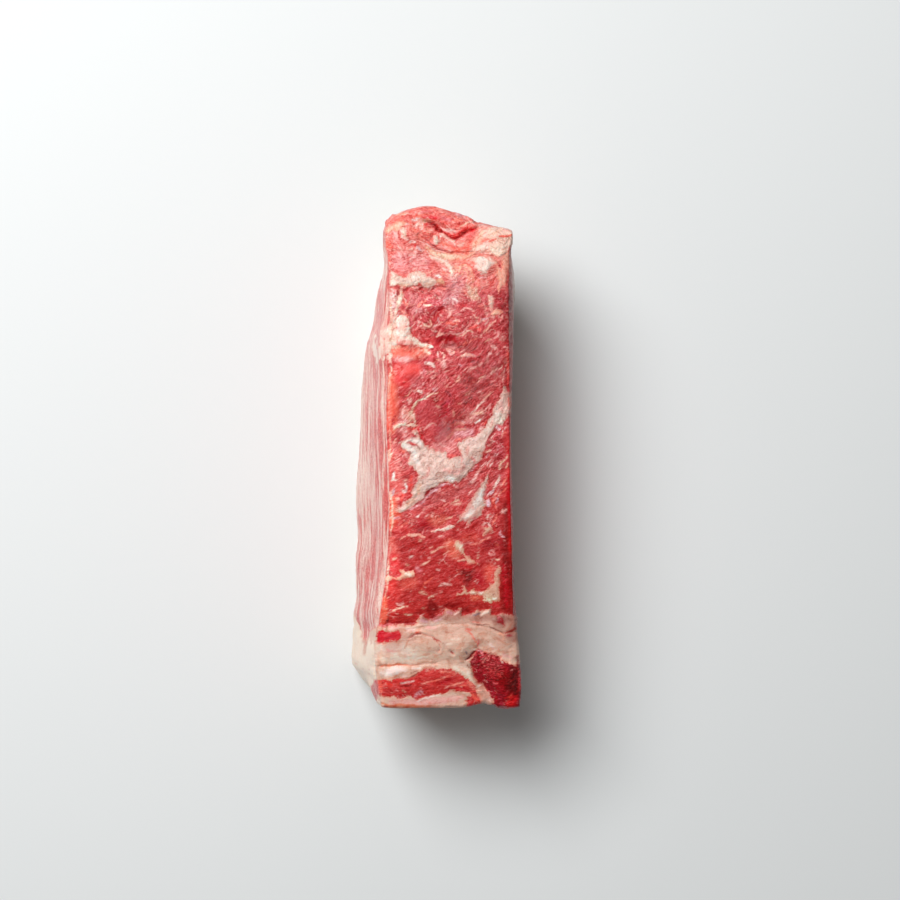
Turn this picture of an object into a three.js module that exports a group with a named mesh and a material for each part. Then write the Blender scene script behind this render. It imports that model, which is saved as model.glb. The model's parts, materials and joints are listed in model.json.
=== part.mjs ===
// A thick raw sirloin steak standing on its fat cap.
// Millimetres. +Z up, +Y from the tail end to the chine end, +X from the left cut face to the right one.
// The body starts as a gridded box. Its edges are rounded, then its six sides are drawn out to the
// outlines of the cut, and the folds, seams and swellings of the meat are pressed into the upper side.
import * as THREE from "three";
import { mergeVertices } from "three/addons/utils/BufferGeometryUtils.js";

// Driving dimensions
const CHINE_REACH = 98.2; // from the middle of the upper side to the tip of the chine end
const TAIL_REACH = 104.4; // and to the tip of the tail end
const UPPER_HALF_WIDTH = 24.3; // the upper side, between the ridges of the two cut faces
const HEIGHT = 71; // fat cap to bone side, at the middle of the length
const FOOT_LEFT = 38; // the left cut face slopes out to here at its foot
const FOOT_RIGHT = 17.5; // the right one slopes in to here
const RIDGE_RADIUS = 3.2; // cut edges round the upper side
const FOOT_RADIUS = 9.5; // soft edges round the fat cap
const CORNER_RADIUS = 6; // how far the two ends are rounded along the length
const CELLS = { thickness: 20, length: 88, height: 11 };
const CROWDING = { thickness: 0.1, length: 0.25, height: 0.45 }; // how far the cells crowd to the edges

const HALF = new THREE.Vector3(UPPER_HALF_WIDTH, (CHINE_REACH + TAIL_REACH) / 2, HEIGHT / 2);

const { lerp, smoothstep } = THREE.MathUtils;

// 1 at a place and fading out over a reach on both sides
const swell = (at, middle, reach) => Math.exp(-(((at - middle) / reach) ** 2));

// A straight edge with swellings, each given as how far out it goes, where along the length, and its reach
const edge = (base, swellings) => (y) =>
  swellings.reduce((sum, [out, middle, reach]) => sum + out * swell(y, middle, reach), base);

// Ridges of the upper side
const ridgeLeft = edge(UPPER_HALF_WIDTH, [
  [2.2, 88, 12], // beside the chine fold
  [1.2, 12, 18], // at the middle
  [5.4, -82, 28], // the tail flares
]);
const ridgeRight = edge(UPPER_HALF_WIDTH, [[4.2, -97, 30]]); // the tail flares

// Feet of the cut faces. The left one draws in towards the chine end.
const CHINE_FOOT_DRAWN_IN = 12.5;
const footLeftEdge = edge(FOOT_LEFT, [
  [3.4, -78, 34], // the tail flares
  [1.6, 63, 8], // a bump before the chine end
]);
const footLeft = (y) => footLeftEdge(y) - CHINE_FOOT_DRAWN_IN * smoothstep(y, 22, 84);
const footRight = edge(FOOT_RIGHT, [
  [4.5, -85, 30], // the tail flares
  [2.5, 50, 30], // below the bulge
]);

// The upper side is arched, and falls away to both ends.
const CHINE_FALL = 11;
const MIDDLE_FALL = 3;
const TAIL_FALL = 13;
const upperHeight = (y) =>
  HEIGHT
  - CHINE_FALL * smoothstep(y, 48, 106) ** 1.4
  - MIDDLE_FALL * smoothstep(-y, 5, 60)
  - TAIL_FALL * smoothstep(-y, 50, 118);

// The fat cap lies flat under most of the steak and curls up towards the chine end.
const CAP_CURL = 24;
const capLift = (y) => CAP_CURL * smoothstep(y, 58, 108) ** 1.4;

// The chine end is drawn out to a tip left of its middle and falls away to the right.
const CHINE_TIP = -6;
const TIP_ROUNDING = 6.3;
const TIP_SLOPE = 9;
function chineEnd(x) {
  const side = x - CHINE_TIP;
  return side < 0
    ? CHINE_REACH - TIP_ROUNDING * (side / 20) ** 2
    : CHINE_REACH - TIP_SLOPE * smoothstep(side, -2, 30);
}

// The tail end is cut nearly straight, with a notch at its upper edge beside the dark muscle.
const TAIL_NOTCH = 1.7;
const tailEnd = (x, up) => -TAIL_REACH + TAIL_NOTCH * swell(x, 11, 6) * smoothstep(up, 0.45, 0.95);

// The trimmed ends are a little uneven.
const endRelief = (x, z) => 0.7 * Math.sin(x / 7.5 + z / 13) + 0.5 * Math.sin(z / 8.5 - x / 19 + 1);

// Relief of the upper side. Places are in millimetres from the middle of the upper side.

// Swellings and hollows: middle, reach along its own two axes, turn in degrees, and rise
const MOUNDS = [
  { at: [0, 93.5], reach: [15, 5.5], turn: -8, rise: 2.4 }, // flap rolled over the chine fold
  { at: [-18, 84], reach: [8, 8], turn: 0, rise: 1.6 }, // left end of the roll
  { at: [17, 84], reach: [9, 8], turn: 0, rise: 1.3 }, // fat corner right of the fold
  { at: [-12, 68], reach: [14, 4], turn: 6, rise: 1.5 }, // fat ridge across the left half
  { at: [13, 71], reach: [7, 5], turn: 0, rise: 1.2 }, // fat knob
  { at: [-3, 55], reach: [5, 4], turn: 60, rise: -1.8 }, // torn hollow
  { at: [-2, 42.5], reach: [6, 4], turn: 10, rise: -2.2 }, // torn hollow
  { at: [-17, 45], reach: [6, 7], turn: -30, rise: 1.2 }, // fat wedge on the left ridge
  { at: [-18, 28], reach: [7, 16], turn: 0, rise: 1.4 }, // smooth lean along the left ridge
  { at: [-4, 13], reach: [8, 12], turn: -20, rise: -2.6 }, // deep red muscle, sunk between ridges
  { at: [15, 22], reach: [8, 16], turn: -35, rise: 1.2 }, // fibre bundle right of it
  { at: [4, -5], reach: [17, 7], turn: 30, rise: 1.6 }, // fat patch where the bone was
  { at: [9, -22], reach: [5, 12], turn: -38, rise: 0.8 }, // fat streak
  { at: [-8, -42], reach: [16, 14], turn: 15, rise: 1.0 }, // eye muscle towards the tail
  { at: [-6, -79], reach: [22, 7], turn: 4, rise: 2.0 }, // thick fat band before the tail
  { at: [8, -78], reach: [7, 5], turn: 0, rise: 1.0 }, // pale knob in the band
  { at: [-10, -92], reach: [17, 4.5], turn: 8, rise: 1.0 }, // flank muscle strip
  { at: [20, -92], reach: [7, 11], turn: 25, rise: 1.6 }, // dark muscle at the tail corner
];

// Creases: half width, depth and a line of points
const CREASES = [
  crease(3.2, 3.2, [-10, 90.5], [-5.5, 87.6], [1.5, 84.4], [7, 86.4], [12.5, 89.4]), // chine fold
  crease(2.3, 1.4, [-12, 85], [-3.5, 79.6], [3.5, 77.8], [11, 80.6]), // seam under the fold
  crease(2.3, 1.1, [10, 78.6], [17, 77.4], [20, 74]), // seam to the right ridge
  crease(2.4, 1.5, [-20, 64], [-14, 63.6], [-6, 64.8]), // gap under the fat ridge
  crease(2.6, 1.6, [-14, -21], [-4, -15.5], [4, -13.6], [12, -4]), // under the fat patch
  crease(2.3, 1.5, [-30, -70], [-12, -68.6], [-2, -65.4], [14, -66.5], [28, -65]), // eye muscle to fat band
  crease(2.3, 1.1, [-30, -87], [-9, -85.4], [2, -85.4], [9, -90], [14, -96]), // fat band to flank strip
  crease(2.5, 2.1, [7, -85], [10.5, -80], [19, -82.5], [28, -86]), // fat band to dark muscle
  crease(2.5, 1.8, [8, -84], [11, -92], [16, -100]), // flank strip to dark muscle
];

// A smooth line through places on the upper side, as a run of short straight pieces
function crease(half, depth, ...places) {
  const curve = new THREE.CatmullRomCurve3(places.map(([x, y]) => new THREE.Vector3(x, y, 0)));
  const steps = curve.getPoints(6 * (places.length - 1));
  return { half, depth, pieces: steps.slice(1).map((end, i) => new THREE.Line3(steps[i], end)) };
}

function moundRise(x, y, { at, reach, turn, rise }) {
  const angle = THREE.MathUtils.degToRad(turn);
  const [dx, dy] = [x - at[0], y - at[1]];
  const along = dx * Math.cos(angle) + dy * Math.sin(angle);
  const across = dy * Math.cos(angle) - dx * Math.sin(angle);
  return rise * Math.exp(-((along / reach[0]) ** 2) - (across / reach[1]) ** 2);
}

const point = new THREE.Vector3();
const nearest = new THREE.Vector3();

function creaseFall(x, y, { half, depth, pieces }) {
  point.set(x, y, 0);
  const distances = pieces.map((piece) => piece.closestPointToPoint(point, true, nearest).distanceTo(point));
  return depth * Math.exp(-((Math.min(...distances) / half) ** 2));
}

function upperRelief(x, y) {
  const rise = MOUNDS.reduce((sum, mound) => sum + moundRise(x, y, mound), 0);
  const fall = Math.max(...CREASES.map((line) => creaseFall(x, y, line)));
  return rise - fall;
}

// Relief of the cut faces, outwards. The eye muscle stands a little proud of the fat cap below it
// and of the fat at the tail, with a shallow seam between them.
const CAP_THICKNESS = 9;
const TAIL_SEAM = -74; // where along the length the eye muscle ends
const EYE_RISE = 1.5;
const SEAM_DEPTH = 0.9;
const UNEVENNESS = 0.35;

function cutFaceRelief(y, z) {
  const capTop = capLift(y) + CAP_THICKNESS + 4 * swell(y, 70, 25);
  const eye = smoothstep(z, capTop - 3, capTop + 9) * smoothstep(y, TAIL_SEAM - 4, TAIL_SEAM + 10);
  const seam = swell(z, capTop, 3) * smoothstep(y, TAIL_SEAM, TAIL_SEAM + 12) + swell(y, TAIL_SEAM, 3.5);
  const waves = Math.sin(y / 11.3 + z / 19) + 0.7 * Math.sin(z / 7.9 - y / 17 + 2);
  return EYE_RISE * eye - SEAM_DEPTH * seam + UNEVENNESS * waves;
}

// The right face bulges low down behind the chine end.
const BULGE = 7;
const rightBulge = (y, z) => BULGE * swell(y, 60, 22) * swell(z, 32, 22);

// A point of the gridded box, each coordinate from -1 to 1, with its edges rounded, still from -1 to 1
function rounded(corner) {
  const box = corner.clone().multiply(HALF);
  const radius = lerp(FOOT_RADIUS, RIDGE_RADIUS, smoothstep(corner.z, -0.4, 0.7));
  const radii = new THREE.Vector3(radius, Math.max(radius, CORNER_RADIUS), radius);
  const flat = HALF.clone().sub(radii);
  const inner = box.clone().clamp(flat.clone().negate(), flat);
  const out = box.clone().sub(inner).divide(radii);
  const reach = Math.max(Math.abs(out.x), Math.abs(out.y), Math.abs(out.z));
  if (reach > 0) out.multiplyScalar(reach / out.length());
  return inner.add(out.multiply(radii)).divide(HALF);
}

// The point of the steak that a point of the gridded box goes to
function steakPoint(corner) {
  const r = rounded(corner);
  const [across, along, up] = [(r.x + 1) / 2, (r.y + 1) / 2, (r.z + 1) / 2];
  const height = up * HEIGHT;
  const face = smoothstep(up, 0, 0.12) * smoothstep(1 - up, 0, 0.12); // ridges and feet stay as drawn
  const roughX = r.x * HALF.x;
  const y = lerp(tailEnd(roughX, up), chineEnd(roughX), along) + face * r.y ** 21 * endRelief(roughX, height);

  let left = -lerp(footLeft(y), ridgeLeft(y), up ** 1.1);
  let right = lerp(footRight(y), ridgeRight(y), up ** 1.1);
  left -= face * cutFaceRelief(y, height);
  right += face * (cutFaceRelief(y, height) + rightBulge(y, height));
  const x = lerp(left, right, across);

  const low = capLift(y);
  const high = upperHeight(y) + smoothstep(up, 0.55, 1) * upperRelief(x, y);
  const z = lerp(low, high, up);
  return new THREE.Vector3(x, y, z);
}

// Moves the grid lines between -1 and 1 towards both ends
const crowd = (t, share) => t + (share * Math.sin(Math.PI * t)) / Math.PI;

function steakGeometry() {
  const box = new THREE.BoxGeometry(2, 2, 2, CELLS.thickness, CELLS.length, CELLS.height);
  box.deleteAttribute("normal");
  box.deleteAttribute("uv");
  const geometry = mergeVertices(box, 1e-4);
  const places = geometry.getAttribute("position");
  const corner = new THREE.Vector3();
  for (let i = 0; i < places.count; i++) {
    corner.fromBufferAttribute(places, i);
    corner.set(
      crowd(corner.x, CROWDING.thickness),
      crowd(corner.y, CROWDING.length),
      crowd(corner.z, CROWDING.height),
    );
    places.setXYZ(i, ...steakPoint(corner));
  }
  geometry.computeBoundingBox();
  const middle = geometry.boundingBox.getCenter(new THREE.Vector3());
  geometry.translate(-middle.x, -middle.y, -geometry.boundingBox.min.z);
  geometry.computeVertexNormals();
  return geometry;
}

const flesh = new THREE.MeshStandardMaterial({ color: 0xc4544c, roughness: 0.45, metalness: 0 });

const steak = new THREE.Mesh(steakGeometry(), flesh);
steak.name = "steak";

const part = new THREE.Group();
part.add(steak);

export default part;
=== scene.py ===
import json
import math

import bpy
import numpy as np
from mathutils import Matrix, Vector, noise

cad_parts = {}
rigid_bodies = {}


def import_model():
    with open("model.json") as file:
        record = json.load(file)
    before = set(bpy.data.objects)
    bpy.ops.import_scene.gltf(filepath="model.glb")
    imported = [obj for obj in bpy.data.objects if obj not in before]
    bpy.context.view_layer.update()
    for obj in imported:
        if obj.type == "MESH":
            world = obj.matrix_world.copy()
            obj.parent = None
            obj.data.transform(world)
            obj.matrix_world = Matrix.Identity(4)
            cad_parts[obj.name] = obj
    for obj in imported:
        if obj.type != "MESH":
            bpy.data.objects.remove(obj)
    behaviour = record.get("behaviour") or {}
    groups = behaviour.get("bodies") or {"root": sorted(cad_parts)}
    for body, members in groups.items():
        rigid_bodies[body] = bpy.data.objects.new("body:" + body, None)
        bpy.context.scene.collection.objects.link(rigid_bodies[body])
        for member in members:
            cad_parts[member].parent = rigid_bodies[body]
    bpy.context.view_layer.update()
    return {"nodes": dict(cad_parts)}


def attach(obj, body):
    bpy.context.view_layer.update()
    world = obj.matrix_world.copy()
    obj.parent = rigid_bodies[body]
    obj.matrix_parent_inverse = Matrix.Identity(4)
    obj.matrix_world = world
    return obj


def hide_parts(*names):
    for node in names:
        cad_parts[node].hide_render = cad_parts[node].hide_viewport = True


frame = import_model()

noise.seed_set(5)  # without it, the noise would differ from one run to the next

MM = 0.001
MIDDLE = np.array([5.0, 3.4, 0.0])  # the middle of the upper side, in the frame's millimetres
HEIGHT = 72  # of the upper side
EYE_HEIGHT = 1000  # of the camera, above the upper side


# ---------------------------------------------------------------- shape of the solid

HALF_WIDTH = 24.3  # of the upper side, before its sides swell out
HALF_SIZE = np.array([HALF_WIDTH, 101.3, 35.5])  # of the plain solid, with its sides drawn straight
RIDGE_RADIUS = np.array([3.2, 6.0, 3.2])  # of the plain solid's edges, across, along and up
LEAN_ALONG = 3.1  # how far the plain solid's middle lies towards the tail
CREST = 71  # the upper side's greatest height
UPPER_DEPTH = 4.5  # how far down its edges the upper side is divided finely


def smooth(value, low, high):
    """Goes from 0 to 1 with soft ends, as value goes from low to high."""
    t = np.clip((value - low) / (high - low), 0, 1)
    return t * t * (3 - 2 * t)


def swell(at, middle, reach):
    """A soft hump of height 1."""
    return np.exp(-(((at - middle) / reach) ** 2))


def ridge_left(y):
    """Where the upper side meets the left cut face."""
    chine_swell, eye_swell = 2.2 * swell(y, 88, 12), 1.2 * swell(y, 12, 18)
    tail_flare = 5.4 * swell(y, -82, 28)
    return -(HALF_WIDTH + chine_swell + eye_swell + tail_flare)


def ridge_right(y):
    """Where the upper side meets the right cut face."""
    tail_flare = 4.2 * swell(y, -97, 30)
    return HALF_WIDTH + tail_flare


def foot_left(y):
    """Where the left cut face meets the floor."""
    tail_flare, chine_swell = 3.4 * swell(y, -78, 34), 1.6 * swell(y, 63, 8)
    chine_taper = 12.5 * smooth(y, 22, 84)
    return -(38 + tail_flare + chine_swell - chine_taper)


def foot_right(y):
    """Where the right cut face meets the floor."""
    tail_flare, chine_swell = 4.5 * swell(y, -85, 30), 2.5 * swell(y, 50, 30)
    return 17.5 + tail_flare + chine_swell


def upper_height(y):
    """Height of the arched upper side."""
    chine_fall = 11 * smooth(y, 48, 106) ** 1.4
    tail_slope, tail_fall = 3 * smooth(-y, 5, 60), 13 * smooth(-y, 50, 118)
    return CREST - chine_fall - tail_slope - tail_fall


def cap_lift(y):
    """How far the fat cap curls up off the floor at the chine end."""
    return 24 * smooth(y, 58, 108) ** 1.4


def is_upper(x, y, z):
    return z > upper_height(y) - UPPER_DEPTH


# ---------------------------------------------------------------- the finely divided body

def select_faces(body, wanted):
    """Selects the faces whose middles pass a test, and nothing else, and enters edit mode."""
    bpy.ops.object.mode_set(mode="EDIT")
    bpy.ops.mesh.select_mode(type="FACE")
    bpy.ops.mesh.select_all(action="DESELECT")
    bpy.ops.object.mode_set(mode="OBJECT")
    middles = np.empty(len(body.data.polygons) * 3)
    body.data.polygons.foreach_get("center", middles)
    places = middles.reshape(-1, 3) / MM - MIDDLE
    body.data.polygons.foreach_set("select", wanted(*places.T))
    bpy.ops.object.mode_set(mode="EDIT")


def divided_copy(node, name):
    """A copy of a plain solid, with its facets rounded off and its upper side divided the most."""
    bpy.ops.object.select_all(action="DESELECT")
    node.select_set(True)
    bpy.context.view_layer.objects.active = node
    bpy.ops.object.duplicate()
    body = bpy.context.active_object
    bpy.ops.object.parent_clear(type="CLEAR_KEEP_TRANSFORM")
    body.name = body.data.name = name
    for key in list(body.keys()):
        del body[key]
    body.data.materials.clear()

    bpy.ops.object.mode_set(mode="EDIT")
    bpy.ops.mesh.select_all(action="SELECT")
    bpy.ops.mesh.remove_doubles(threshold=0.01 * MM)
    bpy.ops.mesh.tris_convert_to_quads(face_threshold=math.pi, shape_threshold=math.pi)
    bpy.ops.object.mode_set(mode="OBJECT")
    if body.data.has_custom_normals:
        bpy.ops.mesh.customdata_custom_splitnormals_clear()

    rounding = body.modifiers.new("rounding", "SUBSURF")
    rounding.levels = rounding.render_levels = 1
    bpy.ops.object.modifier_apply(modifier=rounding.name)

    select_faces(body, is_upper)
    bpy.ops.mesh.subdivide(number_cuts=2, ngon=False)
    bpy.ops.mesh.vertices_smooth(factor=0.5, repeat=3)
    bpy.ops.object.mode_set(mode="OBJECT")
    bpy.ops.object.shade_smooth()
    sharpen_ridges(body)
    return body


def sharpen_ridges(body):
    """Draws the rounded edges round the upper side out to crisp ones, and settles the sides."""
    flat = np.empty(len(body.data.vertices) * 3)
    body.data.vertices.foreach_get("co", flat)
    co = flat.reshape(-1, 3) / MM - MIDDLE
    x, y, z = co.T
    low, high = cap_lift(y), upper_height(y)
    up = np.clip((z - low) / (high - low), 0, 1)
    lean_in = up ** 1.1
    left = foot_left(y) + (ridge_left(y) - foot_left(y)) * lean_in
    right = foot_right(y) + (ridge_right(y) - foot_right(y)) * lean_in

    # the body as a plain box: its rounded edges are pushed out to the box's corners
    across = 2 * (x - left) / (right - left) - 1
    box = np.column_stack([across * HALF_SIZE[0], y + LEAN_ALONG, (2 * up - 1) * HALF_SIZE[2]])
    past = np.clip((np.abs(box) - HALF_SIZE + RIDGE_RADIUS) / RIDGE_RADIUS, 0, 1)
    past[:, 2] *= box[:, 2] > 0
    corner = np.maximum(past.max(1), 0.5)
    folded_end = smooth(y, 72, 84) * smooth(-x, -16, 0)  # where the edge stays soft
    crisp = 0.75 * smooth(up, 0.55, 0.85) * (1 - 0.75 * folded_end)
    on_edge = np.sort(past)[:, 1] > 0
    out = np.sign(box) * past * RIDGE_RADIUS * (crisp * (1 / corner - 1) * on_edge)[:, None]

    right_side, left_side = smooth(x, 5, 15), smooth(-x, 5, 15)

    # the right side: a slimmer bulge at the chine end, and a fuller ridge towards the tail
    out[:, 0] -= 3.6 * right_side * swell(y, 56, 17) * swell(z, 34, 24)
    out[:, 0] += 0.8 * right_side * swell(y, -46, 26) * smooth(z, 48, 62)
    # the left side: a wider foot, a swelling, an uneven edge, and the tail drawn in
    out[:, 0] -= 3.2 * left_side * swell(y, -20, 19) * smooth(-z, -42, -8)
    out[:, 0] -= 1.3 * left_side * swell(y, 43, 9)
    uneven = 0.7
    for pull, middle, length in [(0.9, -46, 6), (-0.9, -63, 5), (0.8, -73, 5), (1.0, -89, 5), (-1.6, 76, 4)]:
        uneven = uneven + pull * swell(y, middle, length)
    out[:, 0] -= left_side * smooth(-z, -50, -20) * uneven
    out[:, 0] += 1.0 * left_side * smooth(-z, -60, -45) * smooth(-y, 90, 94)
    out[:, 0] += 2.4 * left_side * smooth(-y, 91, 101) * smooth(-z, -40, -20)
    # the ends: a rounded edge and a corner at the chine end, and the notch in the tail
    out[:, 1] += 1.0 * smooth(y, 86, 98) * swell(x, -9, 8)
    out[:, 0] += 1.6 * smooth(y, 80, 90) * smooth(x, 18, 24) * smooth(z, 40, 60)
    out[:, 1] += 1.5 * smooth(-y, 92, 102) * swell(x, 13, 4.5) * smooth(z, 30, 55)
    # the foot of the chine end is cut back, at the right and at the end itself
    out[:, 0] -= 4.5 * right_side * smooth(y, 50, 76) * smooth(-z, -42, -12)
    out[:, 1] -= 4.0 * smooth(y, 70, 88) * smooth(x, 0, 16) * smooth(-z, -46, -14)
    body.data.vertices.foreach_set("co", ((co + out + MIDDLE) * MM).ravel())
    body.data.update()


# ---------------------------------------------------------------- laying on fat and lean

SHEEN = 0.008  # what the wet surface adds to every colour
LIGHT_GAIN = 0.95  # how much brighter than its pigment a colour looks under the lamp


def srgb(red, green, blue):
    """A colour given as it looks in good light, 0 to 255, as the pigment that gives it."""
    seen = np.array([red, green, blue]) / 255
    linear = np.where(seen < 0.04, seen / 12.92, ((seen + 0.055) / 1.055) ** 2.4)
    return np.clip((linear - SHEEN) / LIGHT_GAIN, 0.002, 0.95)


# colours as they look, which turn to pigment where they are laid on
WHITE = (248, 228, 220)
CREAM = (244, 218, 202)
PEACH = (243, 193, 168)
SHELL = (238, 180, 170)
PINK = (240, 152, 147)
ROSE = (222, 112, 118)
LILAC = (222, 168, 174)
SALMON = (242, 128, 112)
CORAL = (242, 102, 84)
SCARLET = (232, 66, 56)
RED = (212, 44, 50)
CRIMSON = (190, 16, 34)
MAROON = (145, 4, 16)
WINE = (150, 46, 54)
BRICK = (200, 78, 66)
BROWN = (152, 72, 58)
BEIGE = (228, 184, 162)
TAN = (216, 158, 134)
SLATE = (136, 110, 118)
TERRACOTTA = (226, 130, 96)
PINK_WHITE = (240, 205, 196)
TAIL_FAT = (222, 180, 160)
LEAN = (205, 70, 66)


def curved(points, steps=5):
    """A smooth line through given points: rows of numbers, of which the first two are x and y."""
    rows = np.array(points, float)
    if len(rows) < 3:
        return rows
    ends = np.vstack([2 * rows[0] - rows[1], rows, 2 * rows[-1] - rows[-2]])
    line = []
    for before, start, end, after in zip(ends, ends[1:], ends[2:], ends[3:]):
        for t in np.arange(steps) / steps:
            line.append(0.5 * (2 * start + (end - before) * t
                               + (2 * before - 5 * start + 4 * end - after) * t ** 2
                               + (3 * start - before - 3 * end + after) * t ** 3))
    return np.array(line + [rows[-1]])


NO_FAT = -5.0  # the fat's depth in mm where there is none
RIDGE_DEPTH = 6  # how far below the upper side's height a cut face begins
TINT_REACH = 1.5  # how far down a cut face the colours of the upper side run
PINCH = 1e-9  # keeps a point that is given twice from dividing by zero


class Surface:
    """Every vertex of the body, and what is laid on it. Fields in mm are positive inside a shape."""

    def __init__(self, body):
        self.body = body
        count = len(body.data.vertices)
        flat = np.empty(count * 3)
        body.data.vertices.foreach_get("co", flat)
        self.co = flat.reshape(-1, 3) / MM - MIDDLE
        body.data.vertices.foreach_get("normal", flat)
        self.normal = flat.reshape(-1, 3).copy()
        x, y, z = self.co.T
        nearer = EYE_HEIGHT / (EYE_HEIGHT + HEIGHT - z)
        self.below = np.maximum(upper_height(y) - RIDGE_DEPTH - z, 0)  # how far down a cut face
        past_ridge = smooth(ridge_left(y) + 0.5 - x, 0, 0.9)
        self.side = np.maximum(past_ridge, smooth(self.below, 0, 4))
        self.below += 3 * past_ridge
        across = np.clip(x * nearer, ridge_left(y) + 0.6, ridge_right(y) - 0.6)
        waves = 2.6 * np.sin(z / 9 + x / 12) + 1.2 * np.sin(z / 3.7 + y / 9)
        self.drift = smooth(self.below, 2, 16) * waves
        self.flat_places = np.column_stack([across, y * nearer + self.drift])
        self.ragged = np.array([noise.noise(Vector(c) * 0.4) for c in self.co])
        self.places = self.flat_places.copy()
        for size, reach in [(5.0, 0.55), (1.9, 0.3), (0.9, 0.22)]:
            self.places += self.wobble(1 / size, reach)
        self.fat = np.full(count, NO_FAT)
        self.fat_colour = np.tile(srgb(*TAIL_FAT), (count, 1))
        self.lean_colour = np.tile(srgb(*LEAN), (count, 1))
        self.ground = self.lean_colour.copy()  # the lean's colour without the dabs
        # the meat's own wide tones and painted light and shade, multiplied into every colour
        self.tone = np.ones((count, 3))  # what every colour is multiplied by
        # how much shade is painted at the bottoms of grooves
        self.gap = np.zeros(count)
        self.rise = np.zeros(count)
        self.marbling = np.zeros(count)

    def wobble(self, scale, reach):
        return reach * np.array([noise.noise_vector(Vector(c) * scale)[:2] for c in self.co])

    def near(self, points, margin):
        low, high = points[:, :2].min(0) - margin, points[:, :2].max(0) + margin
        return np.flatnonzero(((self.places > low) & (self.places < high)).all(1))

    def line_field(self, points, half_widths, margin=4.0):
        """Vertices near a curved line, and how deep inside its tapering band each is."""
        widths = np.interp(np.linspace(0, 1, len(points)), np.linspace(0, 1, len(half_widths)), half_widths)
        line = curved(np.column_stack([points, widths]))
        near = self.near(line, margin)
        places = self.places[near]
        best = np.full(len(near), -np.inf)
        for start, end in zip(line, line[1:]):
            along = end[:2] - start[:2]
            t = np.clip((places - start[:2]) @ along / max(along @ along, PINCH), 0, 1)
            distance = np.hypot(*(places - start[:2] - t[:, None] * along).T)
            best = np.maximum(best, start[2] + t * (end[2] - start[2]) - distance)
        return near, best

    def patch_field(self, outline, margin=4.0):
        """Vertices near a smooth closed outline, given as x and y in turn, and how deep inside it each is."""
        corners = np.reshape(outline, (-1, 2))
        ring = curved([*corners, corners[0]])
        near = self.near(ring, margin)
        places = self.places[near]
        distance = np.full(len(near), np.inf)
        inside = np.zeros(len(near), bool)
        for start, end in zip(ring, ring[1:]):
            along = end - start
            t = np.clip((places - start) @ along / max(along @ along, PINCH), 0, 1)
            distance = np.minimum(distance, np.hypot(*(places - start - t[:, None] * along).T))
            crosses = (start[1] > places[:, 1]) != (end[1] > places[:, 1])
            slope = along[0] / (along[1] if along[1] else PINCH)
            inside ^= crosses & (places[:, 0] < start[0] + (places[:, 1] - start[1]) * slope)
        return near, np.where(inside, distance, -distance)

    def soft_line(self, points, half_widths, soft):
        """The band along a line, with room for its soft edge, and kept off the cut faces."""
        near, value = self.line_field(points, half_widths, margin=max(half_widths) + soft + 1)
        return near, np.minimum(value, TINT_REACH - self.below[near])

    def lay_fat(self, near, value, colour, lift, runs_down):
        """Fat that lifts the surface. It thins down a cut face, and ends there raggedly."""
        down = self.below[near]
        thinned = value - 0.18 * np.minimum(down, 10)
        ragged_end = runs_down * (1 + 0.7 * self.ragged[near]) - down
        value = np.minimum(thinned, ragged_end)
        mix = (smooth(value - self.fat[near], -0.5, 0.5) * smooth(value, -2.0, -0.3))[:, None]
        self.fat_colour[near] += (srgb(*colour) - self.fat_colour[near]) * mix
        self.fat[near] = np.maximum(self.fat[near], value)
        self.rise[near] = np.maximum(self.rise[near], lift * smooth(value, -0.8, 1.4))

    def fat_line(self, points, half_widths, colour, lift=0.15, runs_down=2.0):
        near, value = self.line_field(points, half_widths)
        self.lay_fat(near, value, colour, lift, runs_down)

    def fat_lines(self, rows):
        """Many: each a colour, a half width, a lift, then x and y of its points in turn."""
        for colour, half, lift, *numbers in rows:
            self.fat_line(np.reshape(numbers, (-1, 2)), [0.4 * half, half, half, 0.3 * half], colour, lift)

    def fat_patch(self, outline, colour, lift=0.5, runs_down=3.0):
        near, value = self.patch_field(outline)
        self.lay_fat(near, value, colour, lift, runs_down)

    def lean_patch(self, outline, colour, runs_down=99.0):
        """Lean that cuts into fat."""
        near, value = self.patch_field(outline)
        value = np.minimum(value, runs_down - self.below[near])
        self.fat[near] = np.minimum(self.fat[near], -value)
        self.dye(near, value, colour, 0.8, 1.0)

    def dye(self, near, value, colour, soft, strength, dab=False):
        """Changes the lean's colour. A dab lies on top, and the ground under it stays as it is."""
        mix = (strength * smooth(value, -soft, soft))[:, None]
        for layer in [self.lean_colour] if dab else [self.lean_colour, self.ground]:
            layer[near] += (srgb(*colour) - layer[near]) * mix

    def lean_tint(self, points, half_widths, colour, soft, strength, dab=False):
        """A soft change of the lean's colour along a line."""
        near, value = self.soft_line(points, half_widths, soft)
        self.dye(near, value, colour, soft, strength, dab)

    def lean_tints(self, rows):
        """Many: each a colour, how soft, how strong, then x, y and half width of its points in turn."""
        for colour, soft, strength, *numbers in rows:
            points = np.reshape(numbers, (-1, 3))
            self.lean_tint(points[:, :2], points[:, 2], colour, soft, strength)

    def fat_tint(self, points, half_widths, colour, soft, strength):
        """A soft change of the fat's colour along a line."""
        near, value = self.soft_line(points, half_widths, soft)
        mix = (strength * smooth(value, -soft, soft))[:, None]
        self.fat_colour[near] += (srgb(*colour) - self.fat_colour[near]) * mix

    def tint(self, points, half_widths, colour, soft=0.4, strength=0.85):
        """A change of colour of fat and lean alike."""
        self.lean_tint(points, half_widths, colour, soft, strength, dab=True)
        self.fat_tint(points, half_widths, colour, soft, strength)

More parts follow.
